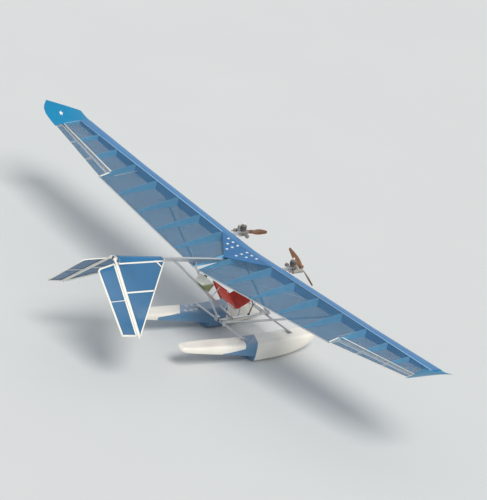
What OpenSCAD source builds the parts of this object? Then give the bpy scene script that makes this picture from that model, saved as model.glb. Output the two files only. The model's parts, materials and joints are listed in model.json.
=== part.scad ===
// Twin-engined ultralight floatplane: film-covered strut-braced wing, square boom, inverted-V tail.
// The nose points along -Y, the left wing along +X, and the float keels stand on z = 0.
// Stations along the length are measured aft from the main spar, then centred by shift_y.

/* [Wing] */
// Span over the wing tips
span = 11070; // [10600:10:11600]
// Distance of each root rib from the centre line
root_offset = 75; // [66:1:90]
// Rib spacing of the inner bays
inner_bay = 663; // [640:1:680]
// Height of the spar's top at the centre line
spar_z = 1874; // [1850:1:1900]
// Dihedral of each half wing in degrees
dihedral = 2.3; // [1.8:0.1:3]
// Chord behind the spar at the root
root_aft = 1180; // [1150:1:1230]
// Chord behind the spar at the inboard end of the aileron
mid_aft = 851; // [800:1:900]
// Chord behind the spar at the tip rib
tip_aft = 597; // [560:1:640]
// Drop of the trailing edge below the spar's top at the root
root_drop = 216; // [205:1:225]
// Drop of the trailing edge at the inboard end of the aileron
mid_drop = 171; // [150:1:190]
// Drop of the trailing edge at the tip rib
tip_drop = 49; // [40:1:60]
// Depth of the nose box at the root
root_depth = 180; // [172:1:184]
// Depth of the nose box at the inboard end of the aileron
mid_depth = 174; // [160:1:180]
// Depth of the nose box at the tip rib
tip_depth = 76; // [70:1:90]
// Length of the nose box ahead of the spar
nose_len = 260; // [240:1:280]
// Bulge of the upper film above a straight line
camber = 20; // [10:1:28]
// Thickness of a rib
rib_t = 10; // [6:1:16]
// Thickness of the film
film_t = 1.5; // [1:0.1:2.5]
// Diameter of the trailing edge tube
te_d = 20; // [16:1:24]
// Width of the upturned tip at its rear corner
tip_out = 380; // [350:5:410]
// Width of the upturned tip at its front corner
tip_front = 300; // [270:5:330]
// Station of the tip's front corner
tip_front_y = -230; // [-245:5:-200]
// Station of the tip's rear corner
tip_corner_y = 620; // [600:5:650]
// Rise of the tip at its rear corner
tip_rise = 366; // [330:2:390]
// Rise of the tip at its front corner
tip_front_rise = 80; // [60:2:100]
// Swell of the tip's rear edge behind a straight line
tip_swell = 100; // [70:5:120]
// Length of the blue patch over the wing roots
patch_len = 520; // [440:5:525]

/* [Aileron] */
// Hinge line as a share of the chord behind the spar
hinge_share = 0.71; // [0.68:0.01:0.74]
// Diameter of the aileron's nose tube
aileron_tube_d = 20; // [16:1:22]
// Diameter of the rear spar that carries the aileron
rear_spar_d = 22; // [18:1:24]

/* [Hinges] */
// Diameter of the hinge pins
pin_d = 8; // [6:0.5:9]
// Radius of the hinge eyes
eye_r = 9; // [8:0.5:10]
// Thickness of a hinge lug
lug_t = 12; // [8:1:14]
// Thickness of a hinge ear
ear_t = 4; // [3:0.5:6]

/* [Boom and tail] */
// Width and height of the square boom
boom_w = 64; // [56:1:70]
// Wall of the boom
boom_wall = 3; // [2:0.5:4]
// Height of the boom's axis at the spar
boom_z = 1668; // [1650:1:1672]
// Rise of the boom towards the tail in degrees
boom_rise = 8.25; // [7.6:0.05:8.8]
// Length of the boom ahead of the spar
boom_front = 170; // [140:5:200]
// Station of the tail hinge line
hinge_y = 3250; // [3150:10:3350]
// Angle of each tail panel below the horizontal in degrees
tail_angle = 43.3; // [41:0.1:45]
// Length of the tail hinge line
tail_len = 1500; // [1440:5:1560]
// Root length of the fixed tail panel
fin_root = 1240; // [1180:5:1300]
// Forward rake of the hinge line over its length
hinge_rake = 136; // [115:1:160]
// Distance between the boom and the fixed panel's root at the hinge spar
root_spread = 80; // [60:2:100]
// Diameter of the tail's hinge spar
tail_spar_d = 40; // [32:1:42]
// Diameter of the tail's edge tubes
edge_d = 28; // [22:1:30]
// Distance of the ruddervator's nose from the boom along the hinge line
rudder_in = 95; // [90:1:110]
// Chord of the ruddervator at its root
rudder_root = 427; // [400:5:460]
// Chord of the ruddervator at its tip
rudder_tip = 356; // [330:2:390]
// Slant of the ruddervator's root edge
rudder_slant = 100; // [80:5:120]
// Cut corner of the ruddervator at its root
rudder_cut = 45; // [30:1:60]
// Diameter of the ruddervator's tubes
rudder_tube_d = 22; // [16:1:24]

/* [Frame] */
// Diameter of the keel tube
keel_d = 46; // [42:1:50]
// Station of the keel tube's front end
keel_front = -945; // [-980:5:-900]
// Station of the keel tube's rear end
keel_rear = 290; // [270:5:310]
// Diameter of the front and rear frame tubes
frame_d = 44; // [40:1:46]
// Wall of the frame tubes
tube_wall = 2; // [1.5:0.5:4]
// Station where the front tube's axis meets the boom's axis
front_top_y = 20; // [0:5:40]
// Station where the rear brace's axis meets the boom's axis
brace_top_y = 1770; // [1720:10:1820]
// Thickness of the joint plates
plate_t = 4; // [3:0.5:6]
// Diameter of the joint bolts
bolt_d = 10; // [8:1:12]
// Diameter of the lift struts
strut_d = 38; // [32:1:42]
// Span station of the lift strut's upper end
strut_x = 2500; // [2400:10:2600]
// Distance of the lift strut's lower end from the centre line
strut_foot = 120; // [105:1:140]

/* [Seat and tank] */
// Width between the seat's side tubes
seat_w = 430; // [400:5:460]
// Length of the seat's back
seat_back = 508; // [480:2:540]
// Lean of the seat's back off the rear brace in degrees
seat_lean = 15; // [12:0.5:18]
// Length of the seat's base
seat_base = 350; // [320:5:380]
// Tilt of the seat's base off a square corner with the rear brace in degrees
seat_tilt = 28; // [24:0.5:32]
// Place of the seat's lowest corner along the rear brace
seat_at = 334; // [310:2:360]
// Distance of the seat's lowest corner from the rear brace
seat_off = 132; // [120:1:145]
// Diameter of the seat's tubes
seat_d = 25; // [20:1:28]
// Thickness of the seat's sling
sling_t = 6; // [4:1:8]
// Place of the fuel tank's lower end along the rear brace
tank_at = 1087; // [1060:5:1110]
// Width of the fuel tank
tank_w = 250; // [220:5:280]
// Length of the fuel tank along the rear brace
tank_l = 300; // [270:5:330]
// Depth of the fuel tank
tank_h = 165; // [150:5:180]

/* [Engines] */
// Span station of the engines
engine_x = 730; // [700:5:740]
// Width of the engine beam
beam_w = 50; // [40:1:56]
// Station of the engine's rear face
engine_y = -430; // [-450:5:-410]
// Diameter of the crankcase
case_d = 120; // [108:1:130]
// Length of the crankcase
case_l = 150; // [130:5:170]
// Diameter of the cooling fins
fin_d = 118; // [108:1:126]
// Diameter of the propeller shaft
shaft_d = 25; // [20:1:28]
// Diameter of the propeller
prop_d = 880; // [820:10:940]

/* [Floats] */
// Distance of each float from the centre line
float_x = 677; // [650:1:700]
// Greatest width of a float
float_w = 390; // [370:5:410]
// Station of the float's bow
bow_y = -1540; // [-1600:5:-1500]
// Station of the float's stern
stern_y = 1750; // [1690:5:1810]
// Station of the step
step_y = 30; // [15:5:50]
// Height of the step
step_h = 95; // [84:1:106]
// Height of the deck
deck_z = 405; // [395:1:412]
// Height of the deck at the stern
stern_z = 515; // [490:5:545]
// Diameter of the spreader bars
spreader_d = 38; // [34:1:44]
// Station of the front spreader bar
spreader_front_y = -880; // [-890:5:-860]
// Station of the rear spreader bar
spreader_rear_y = 220; // [200:5:230]
// Thickness of the spreader bars' feet
foot_t = 12; // [10:1:16]

/* [Hidden] */
$fn = 48;

// Clearance between pieces that seat on each other
fit = 0.3;
// Clearance between a pin or shaft and its bore, on the radius
pin_clear = 0.3;
// Side clearance of a hinge lug between its ears
lug_side = 2;
// Free gap kept round moving surfaces
swing_gap = 6;
// Size of a corner fitting against its tube
elbow = 1.2;

inner_bays = 5;
outer_bays = 3;
kink_x = root_offset + inner_bays * inner_bay;
tip_x = span / 2 - tip_out;
outer_bay = (tip_x - kink_x) / outer_bays;
rib_count = inner_bays + outer_bays;
silver = [0.76, 0.77, 0.78];
white = [0.92, 0.93, 0.92];
film_blue = [0.45, 0.68, 0.86];
deep_blue = [0.10, 0.36, 0.66];
red = [0.75, 0.12, 0.13];

function rib_x(i) = i <= inner_bays ? root_offset + i * inner_bay : kink_x + (i - inner_bays) * outer_bay;
function blend(a, b, s) = a + (b - a) * s;
function along(x, root, mid, tip) = x <= kink_x
    ? blend(root, mid, (x - root_offset) / (kink_x - root_offset))
    : blend(mid, tip, (x - kink_x) / (tip_x - kink_x));

// Wing surfaces: x is the span station, s the share of the chord behind the spar
function top_z(x) = spar_z + x * tan(dihedral);
function nose_depth(x) = along(x, root_depth, mid_depth, tip_depth);
function te_y(x) = along(x, root_aft, mid_aft, tip_aft) - te_d / 2;
function te_z(x) = top_z(x) - along(x, root_drop, mid_drop, tip_drop);
skin = film_t + fit;
film_steps = 8;
function upper(x, s) = blend(top_z(x), te_z(x) + te_d / 2 + skin, s)
    + 4 * camber * s * (1 - s) * nose_depth(x) / root_depth;
function lower(x, s) = blend(top_z(x) - nose_depth(x), te_z(x) - te_d / 2 - skin, s);
function chord_y(x, s) = fit + s * (te_y(x) - fit);
function middle(x, s) = (upper(x, s) + lower(x, s)) / 2;
function share(x, y) = (y - fit) / (te_y(x) - fit);

// Aileron hinge line and the tubes beside it
function hinge_at(x) = [x, chord_y(x, hinge_share), middle(x, hinge_share)];
spar_gap = rear_spar_d / 2 + eye_r + swing_gap;
tube_gap = aileron_tube_d / 2 + eye_r + swing_gap;
function rear_spar_at(x) = hinge_at(x) - [0, spar_gap, 0];
function aileron_tube_at(x) = hinge_at(x) + [0, tube_gap, 0];
function te_at(x) = [x, te_y(x), te_z(x)];
function lean(p, q) = sqrt(1 - pow((q - p)[0] / norm(q - p), 2));
te_lean = te_d / 2 * lean(te_at(root_offset), te_at(kink_x));
spar_lean = rear_spar_d / 2 * lean(hinge_at(kink_x), hinge_at(tip_x));
aileron_in = kink_x + rib_t / 2 + swing_gap;
aileron_out = tip_x - rib_t / 2 - swing_gap;

// Boom and tail
function boom_at(y) = boom_z + y * tan(boom_rise);
tail_x = boom_w / 2 + edge_d / 2 * elbow + fit;
tail_z = boom_at(hinge_y);
function tail_point(x, y) = [tail_x + x * cos(tail_angle),
    hinge_y + y * cos(boom_rise) + x * sin(tail_angle) * sin(boom_rise),
    tail_z + y * sin(boom_rise) - x * sin(tail_angle) * cos(boom_rise)];
rake_angle = asin(hinge_rake / tail_len);
tail_spar_off = tail_spar_d / 2 + eye_r + swing_gap;
rudder_off = rudder_tube_d / 2 + eye_r + swing_gap;
rudder_out = tail_len - tail_spar_d - swing_gap;
rudder_te_in = [rudder_in + rudder_slant + rudder_cut, rudder_root, 0];
tail_end = tail_point(rudder_te_in[0], rudder_te_in[1])[1] + rudder_tube_d / 2 * elbow;
shift_y = -(bow_y + tail_end) / 2;

// Frame in the plane of symmetry
bar_z = deck_z + foot_t + spreader_d / 2;
keel_z = bar_z + spreader_d / 2 + fit + keel_d / 2;
brace_angle = 38.7;
brace_y = brace_top_y - (boom_at(brace_top_y) - keel_z) / tan(brace_angle);
brace_len = (boom_at(brace_top_y) - keel_z) / sin(brace_angle);
brace_low = (keel_d / 2 + frame_d / 2 * cos(brace_angle) + 2) / sin(brace_angle);
brace_turn = brace_angle - boom_rise;
brace_high = (boom_w / 2 + frame_d / 2 * cos(brace_turn) + 2) / sin(brace_turn);
front_low_y = keel_front + 50;
front_angle = atan2(boom_at(front_top_y) - keel_z, front_top_y - front_low_y);
front_len = norm([front_top_y - front_low_y, boom_at(front_top_y) - keel_z]);
front_low = (keel_d / 2 + frame_d / 2 * cos(front_angle) + 2) / sin(front_angle);
front_turn = front_angle - boom_rise;
front_high = (boom_w / 2 + frame_d / 2 * cos(front_turn) + 2) / sin(front_turn);
bolt_in = 28;
joint_half = boom_w / 2 + fit;
function front_at(s) = [0, front_low_y + s * cos(front_angle), keel_z + s * sin(front_angle)];
function brace_at(s) = [0, brace_y + s * cos(brace_angle), keel_z + s * sin(brace_angle)];
function boom_bolt(y) = [0, y, boom_at(y)];
joints = [
    [[0, keel_front + 20, keel_z], front_at(front_low + bolt_in)],
    [front_at(front_len - front_high - bolt_in), boom_bolt(front_top_y)],
    [[0, brace_y + bolt_in / 2, keel_z], brace_at(brace_low + bolt_in)],
    [brace_at(brace_len - brace_high - bolt_in), boom_bolt(brace_top_y)]];

// Engines
beam_z = top_z(engine_x) - nose_depth(engine_x) / 2;
socket_y = -20;
flange_t = 6;
case_y = engine_y - flange_t - fit;
hub_l = 60;
hub_d = 70;
prop_y = case_y - case_l - 110;

// A closed loft through sections that all have the same number of points.
// A strip's sections run along one edge and back along the other, so its ends close in steps.
module loft(sections, strip = false) {
    n = len(sections[0]);
    last = len(sections) - 1;
    points = [for (section = sections) for (p = section) p];
    sides = [for (k = [0 : last - 1]) for (i = [0 : n - 1])
        let (j = (i + 1) % n)
        each [[k * n + i, k * n + j, (k + 1) * n + j], [k * n + i, (k + 1) * n + j, (k + 1) * n + i]]];
    whole = [for (i = [0 : n - 1]) i];
    steps = [for (i = [0 : n / 2 - 2]) each [[i, i + 1, n - 2 - i], [i, n - 2 - i, n - 1 - i]]];
    cap = strip ? steps : [whole];
    first = [for (face = cap) [for (i = [len(face) - 1 : -1 : 0]) face[i]]];
    final = [for (face = cap) [for (i = face) last * n + i]];
    polyhedron(points, concat(first, final, sides));
}

// Places children with X along the line from p to q
module on_line(p, q) {
    d = q - p;
    translate(p) rotate([0, -atan2(d[2], norm([d[0], d[1]])), atan2(d[1], d[0])]) children();
}

module rod(p, q, d) {
    on_line(p, q) rotate([0, 90, 0]) cylinder(d = d, h = norm(q - p));
}

module pipe(p, q, d, wall) {
    on_line(p, q) rotate([0, 90, 0]) difference() {
        cylinder(d = d, h = norm(q - p));
        translate([0, 0, -1]) cylinder(d = d - 2 * wall, h = norm(q - p) + 2);
    }
}

// A cross bolt, or with some clearance its hole, along X through p
module cross_bolt(p, d, half) {
    translate(p - [half, 0, 0]) rotate([0, 90, 0]) cylinder(d = d, h = 2 * half);
}

module bolt_holes(points) {
    difference() {
        children();
        for (p = points) cross_bolt(p, bolt_d + 2 * pin_clear, 2 * boom_w);
    }
}

module placed() { translate([0, shift_y, 0]) children(); }

// Left piece as drawn, right piece mirrored
module sided(side) {
    if (side > 0) placed() children();
    else mirror([1, 0, 0]) placed() children();
}

// Hinge ears with their pin: the axis lies on X, the fixed tube at y = -reach
module hinge_ears(reach) {
    half = lug_t / 2 + lug_side;
    for (x = [-half - ear_t, half]) translate([x, 0, 0]) rotate([0, 90, 0]) {
        cylinder(r = eye_r, h = ear_t);
        translate([-eye_r, -reach, 0]) cube([2 * eye_r, reach, ear_t]);
    }
    translate([-half - ear_t, 0, 0]) rotate([0, 90, 0]) cylinder(d = pin_d, h = 2 * (half + ear_t));
}

// Hinge lug with its bore: the axis lies on X, the moving tube at y = +reach
module hinge_lug(reach) {
    translate([-lug_t / 2, 0, 0]) rotate([0, 90, 0]) difference() {
        union() {
            cylinder(r = eye_r, h = lug_t);
            translate([-eye_r, 0, 0]) cube([2 * eye_r, reach, lug_t]);
        }
        translate([0, 0, -1]) cylinder(d = pin_d + 2 * pin_clear, h = lug_t + 2);
    }
}

// Centre frame

module boom() {
    length = boom_front + hinge_y / cos(boom_rise) - swing_gap - tail_spar_off;
    color(silver) placed()
        bolt_holes([boom_bolt(front_top_y), boom_bolt(brace_top_y)])
        translate([0, 0, boom_z]) rotate([boom_rise, 0, 0]) difference() {
            translate([-boom_w / 2, -boom_front, -boom_w / 2]) cube([boom_w, length, boom_w]);
            translate([boom_wall - boom_w / 2, -boom_front - 1, boom_wall - boom_w / 2])
                cube([boom_w - 2 * boom_wall, length + 2, boom_w - 2 * boom_wall]);
        }
}

module keel_tube() {
    color(silver) placed() bolt_holes([joints[0][0], joints[2][0]])
        pipe([0, keel_front, keel_z], [0, keel_rear, keel_z], keel_d, tube_wall);
}

module front_tube() {
    color(silver) placed() bolt_holes([joints[0][1], joints[1][0]])
        pipe(front_at(front_low), front_at(front_len - front_high), frame_d, tube_wall);
}

module rear_brace() {
    color(silver) placed() bolt_holes([joints[2][1], joints[3][0]])
        pipe(brace_at(brace_low), brace_at(brace_len - brace_high), frame_d, tube_wall);
}

// Pairs of plates with cross bolts that join the tubes of the centre frame
module frame_joints() {
    plate_r = 20;
    color("gainsboro") placed() for (pair = joints) {
        span_yz = pair[1] - pair[0];
        for (x = [-joint_half - plate_t, joint_half])
            translate([x, 0, 0] + pair[0]) rotate([atan2(span_yz[2], span_yz[1]), 0, 0]) {
                rotate([0, 90, 0]) cylinder(r = plate_r, h = plate_t);
                translate([0, norm(span_yz), 0]) rotate([0, 90, 0]) cylinder(r = plate_r, h = plate_t);
                translate([0, 0, -plate_r]) cube([plate_t, norm(span_yz), 2 * plate_r]);
            }
        for (p = pair) cross_bolt(p, bolt_d, joint_half + plate_t);
    }
}

// Carry-through between the nose boxes, and the post from the boom to the trailing edges
module root_fittings() {
    box_y = 60;
    box_low = boom_at(0) + boom_w / 2 / cos(boom_rise) + fit;
    edge_x = root_offset - fit - te_lean;
    post_y = te_y(root_offset);
    post_top = boom_at(post_y) - boom_w / 2 / cos(boom_rise) - fit;
    color(silver) placed() {
        translate([fit - root_offset, -box_y, box_low])
            cube([2 * (root_offset - fit), box_y, spar_z - 20 - box_low]);
        rod([-edge_x, post_y, te_z(root_offset)], [edge_x, post_y, te_z(root_offset)], te_d);
        rod([0, post_y, te_z(root_offset)], [0, post_y, post_top - te_d / 2 * tan(boom_rise)], te_d);
    }
}

// Thin patch over the wing roots, ending where the boom comes through
module centre_patch() {
    gap = 0.8;
    edge = rib_x(1);
    rows = [0.99, 0.65, 0.3, 0.002];
    function half_width(r) = max(edge * (1 - r), 4);
    function patch_z(x, y) = upper(root_offset + max(x - root_offset, 0), share(root_offset, y))
        - max(root_offset - x, 0) * tan(dihedral) + gap;
    sections = [for (r = rows)
        let (y = r * patch_len, w = half_width(r), m = min(root_offset, w * 0.9),
            low = [for (x = [-w, -m, 0, m, w]) [x, patch_z(abs(x), y)]])
        concat([for (p = low) [p[0], y, p[1]]],
            [for (i = [4 : -1 : 0]) [low[i][0], y, low[i][1] + film_t]])];
    color(deep_blue) placed() loft(sections, strip = true);
}

// Seat, tank and controls

module on_brace() {
    placed() translate([0, brace_y, keel_z]) rotate([brace_angle, 0, 0]) children();
}

// Seat in the brace's frame: along the brace, and off it towards the sitter
back_way = [0, cos(seat_lean), sin(seat_lean)];
base_way = [0, -sin(seat_tilt), cos(seat_tilt)];
back_face = [0, -sin(seat_lean), cos(seat_lean)];
base_face = [0, cos(seat_tilt), sin(seat_tilt)];
seat_low = [0, seat_at, seat_off];
seat_top = seat_low + seat_back * back_way;
seat_front = seat_low + seat_base * base_way;
tube_x = seat_w / 2;
seat_bar_d = seat_d * 0.9;
seat_post_d = seat_d * 0.8;

module seat_frame() {
    front_y = brace_y + seat_front[1] * cos(brace_angle) - seat_front[2] * sin(brace_angle);
    front_z = keel_z + seat_front[1] * sin(brace_angle) + seat_front[2] * cos(brace_angle);
    stub = frame_d / 2 + fit;
    corners = [seat_front, seat_low, seat_top];
    color(silver) {
        on_brace() {
            for (s = [-tube_x, tube_x]) {
                side = [s, 0, 0];
                rod(seat_front + side, seat_low + side, seat_d);
                rod(seat_low + side, seat_top + side, seat_d);
                for (p = corners) translate(p + side) sphere(d = seat_d * elbow);
            }
            for (p = corners) rod(p - [tube_x, 0, 0], p + [tube_x, 0, 0], seat_bar_d);
            for (p = [seat_low, seat_top]) rod([0, p[1], stub], p, seat_post_d);
        }
        placed() rod([0, front_y, keel_z + keel_d / 2 + fit], [0, front_y, front_z], seat_post_d);
    }
}

// Sling hung between the side tubes, a sheet that bends from the base into the back
module seat_sling() {
    half = tube_x - seat_d / 2 - fit;
    bend = 70;
    steps = 6;
    mitre = (back_face + base_face) / (1 + back_face * base_face);
    low = seat_low + (seat_bar_d / 2 + fit) * mitre;
    turn = [for (i = [0 : steps])
        let (t = i / steps) low + bend * (pow(1 - t, 2) * back_way + pow(t, 2) * base_way)];
    path = concat([low + seat_back * back_way], turn, [low + seat_base * base_way]);
    color(red) on_brace() translate([-half, 0, 0]) rotate([90, 0, 90])
        linear_extrude(2 * half)
        polygon(concat([for (p = path) [p[1], p[2]]],
            [for (i = [len(path) - 1 : -1 : 0]) let (p = path[i] + sling_t * mitre) [p[1], p[2]]]));
}

// Moulded tank with rounded upright edges and a filler neck
module fuel_tank() {
    corner = 60;
    neck_d = 60;
    neck_h = 25;
    base = frame_d / 2 + fit;
    color(white) on_brace() {
        for (s = [-1, 1]) for (y = [corner, tank_l - corner])
            translate([s * (tank_w / 2 - corner), tank_at + y, base]) cylinder(r = corner, h = tank_h);
        translate([corner - tank_w / 2, tank_at, base]) cube([tank_w - 2 * corner, tank_l, tank_h]);
        translate([-tank_w / 2, tank_at + corner, base]) cube([tank_w, tank_l - 2 * corner, tank_h]);
        translate([0, tank_at + tank_l - corner, base + tank_h]) cylinder(d = neck_d, h = neck_h);
    }
}

module control_stick() {
    stick_d = 20;
    grip_d = 32;
    boot_d = 40;
    boot_h = 15;
    foot = [0, -430, keel_z + keel_d / 2 + fit];
    knee = foot + [0, -60, 200];
    grip = knee + [0, 130, 190];
    color([0.15, 0.15, 0.16]) placed() {
        translate(foot) cylinder(d = boot_d, h = boot_h);
        rod(foot + [0, 0, boot_h / 2], knee, stick_d);
        translate(knee) sphere(d = stick_d * elbow);
        rod(knee, grip, stick_d);
        rod(blend(knee, grip, 0.5), grip, grip_d);
    }
}

module rudder_bar() {
    post_d = 30;
    post_h = 70;
    bar_d = 24;
    bar_half = 220;
    peg_d = 20;
    peg_h = 110;
    peg_x = bar_half - peg_d;
    post = [0, -720, keel_z + keel_d / 2 + fit];
    bar = post + [0, 0, post_h];
    color(silver) placed() {
        translate(post) cylinder(d = post_d, h = post_h);
        rod(bar - [bar_half, 0, 0], bar + [bar_half, 0, 0], bar_d);
        for (s = [-1, 1]) rod(bar + [s * peg_x, 0, 0], bar + [s * peg_x, 0, peg_h], peg_d);
    }
}

// Wing

// Half ellipse ahead of the spar at one span station
module wing_nose(side) {
    steps = 24;
    function nose_section(x) = [for (i = [0 : steps])
        let (a = 90 - i * 180 / steps, d = nose_depth(x) / 2)
        [x, -nose_len * cos(a), top_z(x) - d + d * sin(a)]];
    socket = beam_w + 2 * fit;
    color(film_blue) sided(side) difference() {
        loft([for (x = [root_offset, kink_x, tip_x]) nose_section(x)]);
        translate([engine_x - socket / 2, -2 * nose_len, beam_z - socket / 2])
            cube([socket, 2 * nose_len + socket_y, socket]);
    }
}

// Wedge rib between two shares of the chord, clear of the film
module rib(x, from, to, steps) {
    function edge(x) = concat(
        [for (i = [0 : steps]) let (s = blend(from, to, i / steps)) [x, chord_y(x, s), upper(x, s) - skin]],
        [for (i = [steps : -1 : 0]) let (s = blend(from, to, i / steps)) [x, chord_y(x, s), lower(x, s) + skin]]);
    loft([edge(x - rib_t / 2), edge(x + rib_t / 2)], strip = true);
}

module wing_ribs(side) {
    color(white) sided(side) for (i = [0 : rib_count]) {
        x = i == 0 ? root_offset + rib_t / 2 : i == rib_count ? tip_x - rib_t / 2 : rib_x(i);
        full = share(x, te_y(x) - te_d / 2 - fit);
        cut = share(x, rear_spar_at(x)[1] - rear_spar_d / 2 - fit);
        rib(x, 0, i > inner_bays ? cut : full, film_steps);
    }
}

// Trailing edge tube of the inner bays, and the rear spar with its hinge ears
module wing_edge(side) {
    spar_in = kink_x + rib_t / 2 + fit + spar_lean;
    color(silver) sided(side) {
        rod(te_at(root_offset), te_at(kink_x + rib_t / 2), te_d);
        rod(rear_spar_at(spar_in), rear_spar_at(tip_x - spar_lean), rear_spar_d);
        for (x = aileron_hinges) on_line(hinge_at(x), hinge_at(tip_x)) hinge_ears(spar_gap);
    }
}

aileron_hinges = [for (f = [0.12, 0.5, 0.88]) blend(kink_x, tip_x, f)];

// Upper or lower film as a thin sheet over a run of ribs
module film_sheet(xs, from, to, top, steps = film_steps) {
    function sheet_z(x, s) = top ? upper(x, s) : lower(x, s) + film_t;
    function sheet_row(x, i, down) =
        let (s = blend(from, to, i / steps)) [x, chord_y(x, s), sheet_z(x, s) - down];
    sections = [for (x = xs) concat(
        [for (i = [0 : steps]) sheet_row(x, i, 0)],
        [for (i = [steps : -1 : 0]) sheet_row(x, i, film_t)])];
    loft(sections, strip = true);
}

module wing_film(side) {
    inner = [for (i = [0 : inner_bays]) rib_x(i)];
    outer = [for (i = [inner_bays : rib_count]) rib_x(i) + (i == inner_bays ? fit : 0)];
    outer_end = hinge_share - 0.012;
    color(film_blue) sided(side) for (top = [true, false]) {
        film_sheet(inner, 0, 1, top);
        film_sheet(outer, 0, outer_end, top);
    }
}

// Upturned tip: the leading edge runs on past the last rib, then the rim climbs aft
module wing_tip(side) {
    rows = [0, 0.15, 0.3, 0.45, 0.6, 0.75, 0.86, 0.94, 1];
    steps = 12;
    rim_t = 8;
    rear_thin = 0.55;
    base_f = top_z(tip_x) - tip_depth / 2;
    base_b = te_z(tip_x);
    function tip_section(r) =
        let (front = blend(-nose_len, tip_front_y, r),
            back = blend(tip_aft, tip_corner_y, r) + tip_swell * sin(180 * r * r),
            thick = blend(tip_depth / 2, rim_t, pow(r, 0.6)))
        [for (i = [0 : 2 * steps - 1])
            let (a = i * 180 / steps, c = (1 - cos(a)) / 2, y = blend(front, back, c),
                x = tip_x + fit + r * (blend(tip_front, tip_out, c) - fit),
                rise = pow(r, 1.5) * blend(tip_front_rise, tip_rise, c),
                centre = blend(base_f, base_b, (y + nose_len) / (tip_aft + nose_len)))
            [x, y, centre + rise + thick * sin(a) * (1 - rear_thin * c)]];
    color(deep_blue) sided(side) loft([for (r = rows) tip_section(r)], strip = true);
}

// Strut with a clamp round the rear spreader bar, a pad under the nose box and a tie-down eye
pad_t = 8;
pad_x = 100;
pad_y = 60;
pad_back = 45;
eye_bore = 12;
eye_drop = 22;
eye_out = 25;
eye_t = 8;

module lift_strut(side) {
    clamp_x = 80;
    clamp_y = 62;
    eye_w = 36;
    spar_low = top_z(strut_x) - nose_depth(strut_x);
    low_slope = atan((nose_depth(kink_x) - nose_depth(root_offset)) / (kink_x - root_offset));
    start = [strut_foot, spreader_rear_y, bar_z + spreader_d / 2 + pad_t + strut_d / 2];
    high = [strut_x, -pad_back, spar_low - fit - pad_t];
    slope = asin((high - start)[2] / norm(high - start));
    cut_back = (strut_d / 2 * cos(slope) - pad_t / 2) / sin(slope);
    color(silver) sided(side) {
        difference() {
            translate(start - [clamp_x / 2, clamp_y / 2, strut_d / 2 + 2 * pad_t + spreader_d])
                cube([clamp_x, clamp_y, spreader_d + 2 * pad_t + strut_d]);
            translate([strut_foot - clamp_x, spreader_rear_y, bar_z]) rotate([0, 90, 0])
                cylinder(d = spreader_d + 2 * fit, h = 2 * clamp_x);
        }
        pipe(start, high - (high - start) / norm(high - start) * cut_back, strut_d, tube_wall);
        translate([strut_x, -pad_back, spar_low - fit]) rotate([0, low_slope - dihedral, 0])
            translate([-pad_x / 2, -pad_y / 2, -pad_t]) cube([pad_x, pad_y, pad_t]);
        translate(high + [eye_out, 0, 0]) difference() {
            translate([-eye_t / 2, -eye_w / 2, -eye_drop - eye_w / 2])
                cube([eye_t, eye_w, eye_drop + eye_w / 2 + pad_t / 4]);
            translate([-eye_t, 0, -eye_drop]) rotate([0, 90, 0]) cylinder(d = eye_bore, h = 2 * eye_t);
        }
    }
}

module aileron_frame(side) {
    ribs = [aileron_in + rib_t / 2, rib_x(6), rib_x(7), aileron_out - rib_t / 2];
    color(white) sided(side) {
        rod(aileron_tube_at(aileron_in), aileron_tube_at(aileron_out), aileron_tube_d);
        rod(te_at(aileron_in), te_at(aileron_out), te_d);
        for (x = ribs) rib(x, share(x, aileron_tube_at(x)[1]), share(x, te_y(x)), 1);
        for (x = aileron_hinges) on_line(hinge_at(x), hinge_at(tip_x)) hinge_lug(tube_gap);
    }
}

module aileron_film(side) {
    xs = [aileron_in, rib_x(6), rib_x(7), aileron_out];
    from = hinge_share + 0.03;
    color(film_blue) sided(side) for (top = [true, false]) film_sheet(xs, from, 1, top, 2);
}

// Tail, drawn flat in each panel's own plane: X outboard along the panel, Y aft

module tail_plane(side) {
    sided(side) translate([tail_x, hinge_y, tail_z]) rotate([boom_rise, 0, 0]) rotate([0, tail_angle, 0])
        children();
}

function hinge_point(x, off) = [x, off - x * tan(rake_angle), 0];
fin_front = [0, -fin_root, 0];
fin_tip = hinge_point(tail_len, -tail_spar_off);
fin_root_rear = hinge_point(root_spread, -tail_spar_off);
fin_mid = 0.395;
fin_rib_slant = 55;
fin_rib_d = edge_d * 0.7;
fin_rib_front = blend(fin_front, fin_tip, fin_mid);
fin_rib_rear = hinge_point(fin_rib_front[0] + fin_rib_slant, -tail_spar_off);
gusset_share = 0.1;
gusset_t = 3;
gusset_edge = blend(fin_front, fin_tip, gusset_share);
gusset_root = blend(fin_front, fin_root_rear, 2 * gusset_share);
gusset = [for (p = [fin_front, gusset_edge, gusset_root]) [p[0], p[1]]];
tail_hinges = [for (f = [0.12, 0.5, 0.88]) f * tail_len];

// Lug that carries the hinge spar's inner end on the boom's side
tail_lug_l = 2 * tail_spar_d;

module tail_lug(side) {
    lug_h = 0.7 * boom_w;
    lug_w = tail_x + tail_spar_d / 4 - boom_w / 2 - fit;
    sided(side) translate([boom_w / 2 + fit, hinge_y, tail_z]) rotate([boom_rise, 0, 0])
        translate([0, -tail_spar_off - 0.7 * tail_lug_l, -lug_h / 2])
        cube([lug_w, tail_lug_l, lug_h]);
}

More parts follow.
